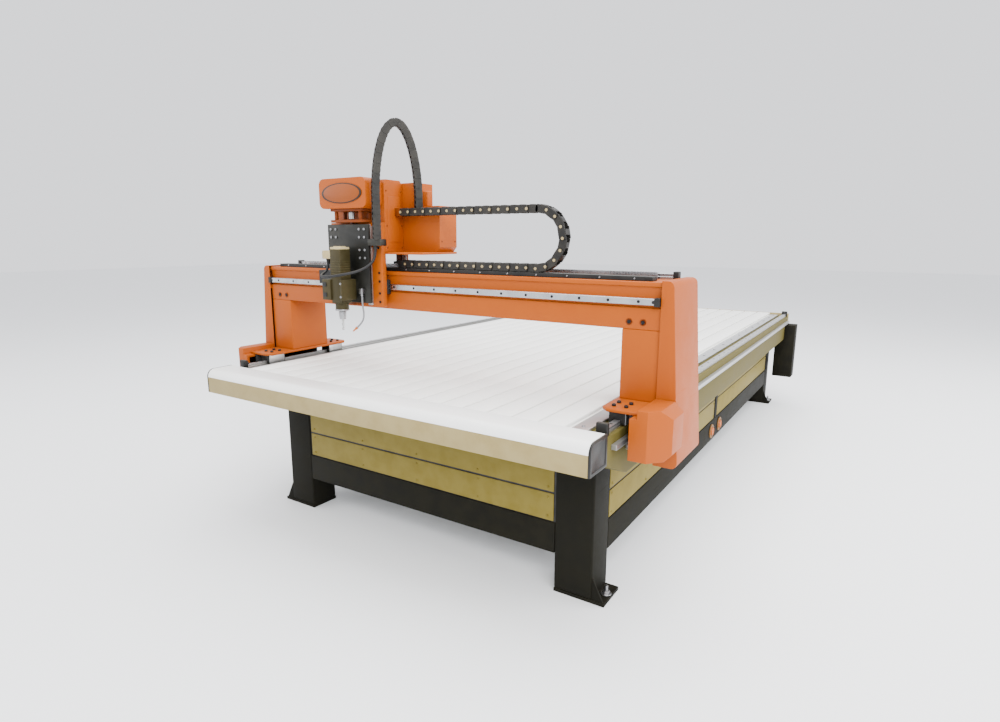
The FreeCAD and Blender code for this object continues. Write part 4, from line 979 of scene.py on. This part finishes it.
# ------------------------------------------------------------------ chains
@dataclass
class DragChain:
    """The cable chain of the cross travel and the small standing chain of the spindle's travel."""

    pitch: float = 0.044
    width: float = 0.046
    height: float = 0.036
    centre_y: float = -1.773
    low: float = 1.307
    outer: float = 0.137
    bend_x: float = 0.553
    fixed_x: float = -0.150
    moving_x: float = -0.170
    reach: float = 60.0
    turn_gap: float = 0.036
    inner_scale: float = 0.97
    inner_lead: float = 0.0376
    arch_left: tuple = (-0.186, -1.938)
    arch_right: tuple = (-0.078, -1.773)
    arch_foot: float = 1.440
    arch_spring: float = 1.620
    arch_rise: float = 0.325
    arch_start: float = 1.5813
    arch_pitch: float = 0.022
    arch_widths: tuple = (0.040, 0.037)
    arch_steps: int = 60

    def link(self, pitch: float, height: float, width: float, inner: bool) -> Piece:
        """One link about its own middle: two side plates with hinge ends, two bars and the hinge pins."""
        half = pitch / 2
        radius = height * 0.46
        outline = []
        for side in (1, -1):
            for angle in (-80, -40, 0, 40, 80):
                a = math.radians(angle)
                out = half * 0.98 + radius * 0.42 * math.cos(a)
                outline.append((side * out, 0, side * radius * math.sin(a)))
        edge = width / 2 - (0.005 if inner else 0.0)
        plates = []
        for side in (-1, 1):
            outer = side * edge
            shape = [(x, outer, z) for x, _, z in outline]
            plates.append(Piece.traced("plate", shape, (0, -side * 0.0045, 0)).bevel(0.0008, 1, 50))
        bars = []
        for z in (-1, 1):
            top = z * height / 2
            low, high = sorted((top, top - z * 0.005))
            bar = Piece.block("bar", (-pitch * 0.26, -edge + 0.003, low), (pitch * 0.26, edge - 0.003, high))
            bars.append(bar.bevel(0.0012, 2))
        body = plates[0].joined(plates[1], *bars).paint(CHAIN)
        if inner:
            return body
        pins = []
        for x in (-half, half):
            for side in (-1, 1):
                root, tip = (x, side * (edge - 0.001), 0), (x, side * (edge + 0.0015), 0)
                pin = Piece.drum("pin", root, tip, height * 0.17, sides=14)
                pins.append(pin.bevel(0.0005, 1).paint(PIN))
        return body.joined(*pins)

    def tied(self, piece: Piece, share: float, node: str) -> None:
        """Shades a link, bakes its place into its mesh and hides the CAD node that it stands for.

        Args:
            piece: the link.
            share: how much of the travel the link was meant to follow, 0 to 1; it is not used.
            node: the CAD node that the link stands for.
        """
        share = min(max(share, 0.0), 1.0)
        t = 0.5 - math.sin(math.asin(1 - 2 * share) / 3)
        piece.smooth()
        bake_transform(piece.obj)
        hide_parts(node)

    def run(
        self, name: str, start: float, end: float, z: float, shares: tuple, node: str, lead: float
    ) -> None:
        """A straight run of links along X, from its held end to the bend.

        Args:
            name: the start of each link's name.
            start: where the held end lies.
            end: where the bend begins.
            z: the height of the links' middle line.
            shares: the shares of the carriage's travel meant for the first and the last link, passed on to
                tied.
            lead: the further share of travel meant for the inner links, which are made only when it is not 0.
            node: the CAD node that the run replaces.
            lead: the further travel of the inner links, which fill the gaps when the run stretches, or 0.
        """
        count = round((end - start) / self.pitch)
        step = (end - start) / count
        links = [self.link(step, self.height, self.width, i % 2 == 1) for i in (0, 1)]
        for i in range(count):
            middle = start + step * (i + 0.5)
            share = shares[0] + (shares[1] - shares[0]) * (i + 0.5) / count
            if shares[0] > shares[1]:
                share = min(share, shares[1] + max(0.0, end - middle - self.turn_gap))
            place = at(middle, self.centre_y, z)
            self.tied(links[i % 2].copied(f"{name}_{i}", place), share, node)
            if lead and i < count - 1:
                inner = links[i % 2].copied(f"{name}_inner_{i}", place @ Matrix.Scale(self.inner_scale, 4))
                self.tied(inner, share + lead, node)
        scrap(links)

    def bend(self) -> None:
        """The half turn of links that joins the two runs."""
        radius = self.outer - self.height / 2
        count = round(math.pi * radius / self.pitch)
        step = math.pi / count
        chord = 2 * radius * math.sin(step / 2)
        links = [self.link(chord, self.height, self.width, i % 2 == 1) for i in (0, 1)]
        pieces = []
        centre = Matrix.Translation((self.bend_x, self.centre_y, self.low + self.outer))
        for i in range(count):
            angle = -math.pi / 2 + step * (i + 0.5)
            turn = Matrix.Rotation(-(angle + math.pi / 2), 4, "Y")
            place = centre @ turn @ at(0, 0, -radius)
            pieces.append(links[i % 2].copied(f"bend_{i}", place))
        scrap(links)
        pieces[0].joined(*pieces[1:]).named("chain_turn").mount("chain_bend", "chain_bend_loop")

    def arch(self) -> None:
        """The small standing chain from the carriage over to the spindle plate."""
        left, right = Vector((*self.arch_left, 0)), Vector((*self.arch_right, 0))
        half = (right - left).length / 2
        way = (left - right).normalized()
        path = [right + Vector((0, 0, self.arch_start)), right + Vector((0, 0, self.arch_spring))]
        middle = (left + right) / 2 + Vector((0, 0, self.arch_spring))
        for i in range(1, self.arch_steps):
            a = math.pi * i / self.arch_steps
            path.append(middle - way * half * math.cos(a) + Vector((0, 0, self.arch_rise * math.sin(a))))
        path += [left + Vector((0, 0, self.arch_spring)), left + Vector((0, 0, self.arch_foot))]
        lengths = [0.0]
        for a, b in zip(path, path[1:]):
            lengths.append(lengths[-1] + (b - a).length)
        total = lengths[-1]
        count = round(total / self.arch_pitch)
        links = [self.link(total / count, self.height, width, True) for width in self.arch_widths]
        across = way.cross(Vector((0, 0, 1)))
        for i in range(count):
            wanted = total * (i + 0.5) / count
            j = max(k for k, length in enumerate(lengths[:-1]) if length <= wanted)
            a, b = path[j], path[j + 1]
            point = a + (b - a) * ((wanted - lengths[j]) / (b - a).length)
            ahead = (b - a).normalized()
            up = ahead.cross(across)
            turn = Matrix((ahead, across, -up)).transposed().to_4x4()
            if turn.determinant() < 0:
                turn = Matrix((ahead, across, up)).transposed().to_4x4()
            link = links[i % 2].copied(f"standing_{i}", Matrix.Translation(point) @ turn)
            self.tied(link, (i + 0.5) / count, "z_chain_arch")
        scrap(links)

    def build(self) -> None:
        """Builds both chains."""
        z = self.low + self.height / 2
        self.run("lower", self.fixed_x, self.bend_x, z, (0.0, 0.5), "chain_lower_run", self.inner_lead)
        top = self.low + 2 * self.outer - self.height / 2
        self.run("upper", self.moving_x, self.bend_x, top, (1.0, 0.5), "chain_upper_run", 0.0)
        self.bend()
        self.arch()
        log.info("chains done")


# ------------------------------------------------------------------ carriage
@dataclass
class Carriage:
    """The cross carriage with its covers, motors and the upright guides."""

    body: str = "x_carriage"
    middle: float = -0.370
    front: float = -1.890
    bolt_x: float = 0.146
    bolt_levels: tuple = (1.15, 1.19, 1.245, 1.285, 1.40, 1.48)
    rail_x: float = 0.092

    def plate(self) -> None:
        """The saddle plate with its bolts, the guide carriages and the brackets."""
        saddle = softened("saddle_plate", "saddle", ORANGE, 0.003)
        bolt = Fixing(0.006, 0.003, DARK_BOLT).socket()
        places = [facing((self.middle + s * self.bolt_x, self.front, z), (0, -1, 0))
                  for s in (-1, 1) for z in self.bolt_levels]
        saddle.joined(bolt.spread("saddle_bolts", places)).mount(self.body, "saddle_plate")
        dress(
            self.body,
            ("x_bearing_blocks", "cross_carriages", MOTOR, 0.002),
            ("carriage_brackets", "brackets", ORANGE_DEEP, 0.002),
            ("carriage_roof", "motor_shelf", ORANGE, 0.002),
        )

    def covers(self) -> None:
        """The tall cover with its panel and the motor case behind it, both screwed on."""
        cover = softened("carriage_cover", "tall_cover", ORANGE, 0.004, 3)
        low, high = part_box("carriage_cover")
        inner_low, inner_high = (low[1] + 0.022, low[2] + 0.045), (high[1] - 0.022, high[2] - 0.075)
        panel = Piece.block("panel", (high[0] - 0.001, inner_low[0], inner_low[1]),
                            (high[0] + 0.0025, inner_high[0], inner_high[1]))
        panel.bevel(0.0018, 3).paint(ORANGE)
        screw = Fixing(0.0045, 0.0025, ORANGE_DEEP).pan()
        places = [facing((high[0], y, z), (1, 0, 0))
                  for y in (low[1] + 0.012, high[1] - 0.012) for z in (low[2] + 0.02, 1.50, high[2] - 0.05)]
        cover.joined(panel, screw.spread("tall_cover_screws", places)).mount(self.body, "carriage_cover")
        case = softened("rear_motor_case", "motor_case", ORANGE, 0.004, 3)
        low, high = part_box("rear_motor_case")
        screw = Fixing(0.0045, 0.0025, ORANGE_DEEP).pan()
        places = [facing((high[0], y, z), (1, 0, 0))
                  for y in (low[1] + 0.015, high[1] - 0.015) for z in (1.43, 1.57)]
        case.joined(screw.spread("case_screws", places)).mount(self.body, "rear_motor_case")
        cap = Piece.block("loop_cap", (-0.122, -1.706, 1.588), (-0.078, -1.666, 1.662))
        cap.bevel(0.009, 4).paint(ORANGE).mount(self.body)
        dress(self.body, ("x_motor", "cross_motor", MOTOR, 0.003))

    def uprights(self) -> None:
        """The upright rails, the screw's supports and the motor."""
        low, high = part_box("z_rails")
        rails = []
        for i, s in enumerate((-1, 1)):
            start = (self.middle + s * self.rail_x, self.front, low[2])
            rails.append(
                guide_rail(f"upright_{i}", start, Along.Z, high[2] - low[2], 0.020, 0.014, (0, -1, 0))
            )
        rails[0].joined(rails[1]).mount(self.body, "z_rails")
        dress(
            self.body,
            ("z_screw_mount", "screw_mount", ORANGE_DEEP, 0.0015),
            ("z_motor", "lift_motor", MOTOR, 0.003),
        )

    def head(self) -> None:
        """The rounded head cover and the blank oval plate on it."""
        dress(self.body, ("z_head_cover", "head_cover", ORANGE, 0.005, 4))
        low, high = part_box("head_badge_plate")
        centre = [(a + b) / 2 for a, b in zip(low, high)]
        face = facing((centre[0], high[1], centre[2]), (0, -1, 0))
        half_wide, half_tall = (high[0] - low[0]) / 2, (high[2] - low[2]) / 2
        ovals = []
        for depth, share, finish in ((0.0035, 1.0, BADGE_RIM), (0.0042, 0.90, BADGE)):
            oval = Piece.drum("oval", (0, 0, 0), (0, 0, depth), 1.0, sides=48)
            oval.obj.data.transform(face @ Matrix.Diagonal((half_wide * share, half_tall * share, 1, 1)))
            ovals.append(oval.bevel(0.0006, 2, 50).paint(finish))
        ovals[0].joined(ovals[1]).named("blank_badge").mount(self.body, "head_badge_plate")

    def build(self) -> None:
        """Builds the whole carriage."""
        self.plate()
        self.covers()
        self.uprights()
        self.head()


# ------------------------------------------------------------------ spindle
@dataclass
class SpindleSlide:
    """The lifting plate with the spindle, its clamp and the cutter."""

    body: str = "z_slide_body"
    x: float = -0.370
    y: float = -1.9925
    front: float = -1.940
    low: float = 1.146
    high: float = 1.393
    half: float = 0.032
    rail_x: float = 0.092
    bolt_levels: tuple = (1.354, 1.390, 1.448, 1.484)
    nose_angles: tuple = (0.4, 1.97, 3.54, 5.11)

    def turned(
        self, name: str, start: float, end: float, radius: float, tip: float | None = None, sides: int = 48
    ) -> Piece:
        """A turned piece on the spindle's axis, between two heights."""
        return Piece.drum(name, (self.x, self.y, start), (self.x, self.y, end), radius, tip, sides)

    def plate(self) -> None:
        """The black lifting plate, its bolts and the guide carriages."""
        plate = softened("z_plate", "lift_plate", SLATE, 0.002)
        bolt = Fixing(0.0055, 0.004, ZINC).socket()
        places = [facing((self.x + s * (self.rail_x + o), self.front, z), (0, -1, 0))
                  for s in (-1, 1) for o in (-0.016, 0.016) for z in self.bolt_levels]
        plate.joined(bolt.spread("plate_bolts", places)).mount(self.body, "z_plate")
        dress(self.body, ("z_bearing_blocks", "upright_carriages", STEEL, 0.0015))

    def spindle(self) -> None:
        """The square spindle body with its cooling grooves, top cap and nose."""
        body = softened("spindle_body", "spindle_case", SPINDLE, 0.004, 3)
        cap = Piece.block(
            "top_cap",
            (self.x - self.half + 0.001, self.y - self.half + 0.001, self.high - 0.001),
            (self.x + self.half - 0.001, self.y + self.half - 0.001, self.high + 0.010),
        )
        cap.inset(lambda c, n: n.z > 0.9, 0.010, -0.004).bevel(0.002, 2).paint(BOX)
        grooves = []
        for z in evenly(self.low + 0.125, self.high - 0.055, 7):
            fin = Piece.block("fin", (self.x - self.half - 0.0012, self.y - self.half - 0.0012, z - 0.002),
                              (self.x + self.half + 0.0012, self.y + self.half - 0.004, z + 0.002))
            grooves.append(fin.bevel(0.0008, 1).paint(SPINDLE))
        ring = self.turned("nose_ring", self.low - 0.035, self.low - 0.028, 0.0322)
        ring.bevel(0.0012, 2).paint(ZINC)
        seam = self.turned("nose_plate", self.low - 0.0005, self.low - 0.006, 0.0318)
        seam.bevel(0.001, 2).paint(SPINDLE)
        screw = Fixing(0.003, 0.002, ZINC).socket()
        places = []
        for a in self.nose_angles:
            place = (self.x + 0.024 * math.cos(a), self.y + 0.024 * math.sin(a), self.low - 0.035)
            places.append(facing(place, (0, 0, -1)))
        body.joined(cap, ring, seam, screw.spread("nose_screws", places), *grooves)
        body.mount(self.body, "spindle_body")

    def clamp(self) -> None:
        """The bracket round the spindle with its square windows and bolts."""
        low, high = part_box("spindle_clamp")
        clamp = softened("spindle_clamp", "clamp_bracket", SPINDLE, 0.002)
        window = Piece.block("window", (-0.012, -0.003, -0.010), (0.012, 0.0004, 0.010))
        window.bevel(0.0015, 2).paint(BLACK)
        places = [at(low[0] + 0.0185, low[1] - 0.0002, z) for z in (low[2] + 0.024, low[2] + 0.072)]
        side = [facing((low[0] - 0.0002, y, z), (-1, 0, 0)) @ Matrix.Rotation(math.pi / 2, 4, "X")
                for y in (low[1] + 0.03, low[1] + 0.065) for z in (low[2] + 0.024, low[2] + 0.072)]
        bolt = Fixing(0.005, 0.005, ZINC).socket()
        bolts = [facing((high[0] - 0.006, low[1], z), (0, -1, 0)) for z in (low[2] + 0.018, high[2] - 0.018)]
        clamp.joined(window.spread("windows", places + side), bolt.spread("clamp_bolts", bolts))
        clamp.mount(self.body, "spindle_clamp")

    def terminal(self) -> None:
        """The small connection box with its lid and screws."""
        low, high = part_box("terminal_box")
        box = softened("terminal_box", "connection_box", BOX, 0.003, 3)
        corner = (low[0] + 0.001, low[1] - 0.002, low[2] + 0.001)
        lid = Piece.block("lid", corner, (high[0] - 0.001, low[1] + 0.002, high[2] - 0.001))
        lid.bevel(0.0012, 2).paint(BOX)
        screw = Fixing(0.0022, 0.0012, ZINC).pan()
        places = [facing((x, low[1] - 0.002, z), (0, -1, 0))
                  for x in (low[0] + 0.006, high[0] - 0.006) for z in (low[2] + 0.006, high[2] - 0.006)]
        box.joined(lid, screw.spread("lid_screws", places)).mount(self.body, "terminal_box")

    def rotor(self) -> None:
        """The shaft, the slotted collet nut and the fluted cutter, turning together."""
        dress("spindle_rotor", ("spindle_shaft", "shaft", STEEL, 0.001))
        base = self.low - 0.076
        nut = self.turned("nut", base, base + 0.036, 0.0145, 0.018, 36)
        flats = []
        for i in range(6):
            a = math.pi * i / 3
            centre = Vector((self.x + 0.0186 * math.cos(a), self.y + 0.0186 * math.sin(a), base + 0.014))
            notch = Piece.block("notch", (-0.003, -0.004, -0.009), (0.003, 0.004, 0.009))
            notch.obj.data.transform(Matrix.Translation(centre) @ Matrix.Rotation(a, 4, "Z"))
            flats.append(notch)
        nut.drill(*flats).bevel(0.0007, 2, 40).paint(ZINC).named("collet_nut_turned")
        nut.mount("spindle_rotor", "collet_nut")
        low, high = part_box("cutting_tool")
        shank = self.turned("shank", low[2] + 0.040, high[2], 0.006, sides=24).bevel(0.0006, 2)
        shank.joined(self.flutes(low[2], 0.042)).paint(STEEL).named("end_mill")
        shank.mount("spindle_rotor", "cutting_tool")

    def flutes(self, bottom: float, length: float) -> Piece:
        """The twisted two-flute end of the cutter."""
        outline = []
        for i in range(16):
            a = 2 * math.pi * i / 16
            radius = 0.0058 if i % 8 in (0, 1) else (0.0050 if i % 8 in (2, 7) else 0.0030)
            outline.append((self.x + radius * math.cos(a), self.y + radius * math.sin(a), bottom))
        steps = 14
        blade = Piece.traced("blade", outline, (0, 0, length / steps))
        for i in range(1, steps + 1):
            level = bottom + length * i / steps
            blade.pick(lambda c, n: n.z > 0.9 and abs(c.z - level) < 0.0005)
            bpy.ops.transform.rotate(value=-0.42, orient_axis="Z", center_override=(self.x, self.y, level))
            if i < steps:
                bpy.ops.mesh.extrude_region_move(TRANSFORM_OT_translate={"value": (0, 0, length / steps)})
            bpy.ops.object.mode_set(mode="OBJECT")
        return blade

    def build(self) -> None:
        """Builds the whole slide."""
        self.plate()
        self.spindle()
        self.clamp()
        self.terminal()
        self.rotor()


@dataclass
class Gears:
    """The pinions and the lift screw, which turn in place."""

    def build(self) -> None:
        """Builds the turning parts."""
        pinions = {"right_y_pinion": "right_pinion", "left_y_pinion": "left_pinion", "x_pinion": "x_gear"}
        for node, body in pinions.items():
            dress(body, (node, node + "_cut", STEEL, 0.0005, 1))
        screw = softened("z_ball_screw", "lift_screw", STEEL, 0.0006, 1)
        thread = Piece.drum("thread", (-0.370, -1.908, 1.16), (-0.370, -1.908, 1.164), 0.0086, 0.0076, 20)
        thread.paint(STEEL).row(31, (0, 0, 0.010))
        screw.joined(thread).mount("z_screw", "z_ball_screw")


# The panel backing is a black sheet: painted shade, standing for the dark gap at the bed panels.
LEFT_AS_CAD = {"panel_backing": BLACK}


def dress_nodes() -> None:
    """Paints each CAD node that stays as it is; the panel backing gets black, painted shade for the dark gap
    at the bed panels.
    """
    for node, finish in LEFT_AS_CAD.items():
        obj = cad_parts[node]
        if not obj.material_slots:
            obj.data.materials.append(finish.material())
        for place in obj.material_slots:
            place.material = finish.material()


def main() -> None:
    """Builds the scene in order."""
    logging.basicConfig(level=logging.INFO, format="%(message)s")
    studio = Studio()
    studio.camera()
    Cables().build()
    studio.light()
    studio.floor()
    for assembly in (Bed(), Gantry(), DragChain(), Carriage(), SpindleSlide(), Gears()):
        assembly.build()
        log.info("%s built", type(assembly).__name__)
    dress_nodes()
    put_down()


if __name__ == "__main__":
    main()
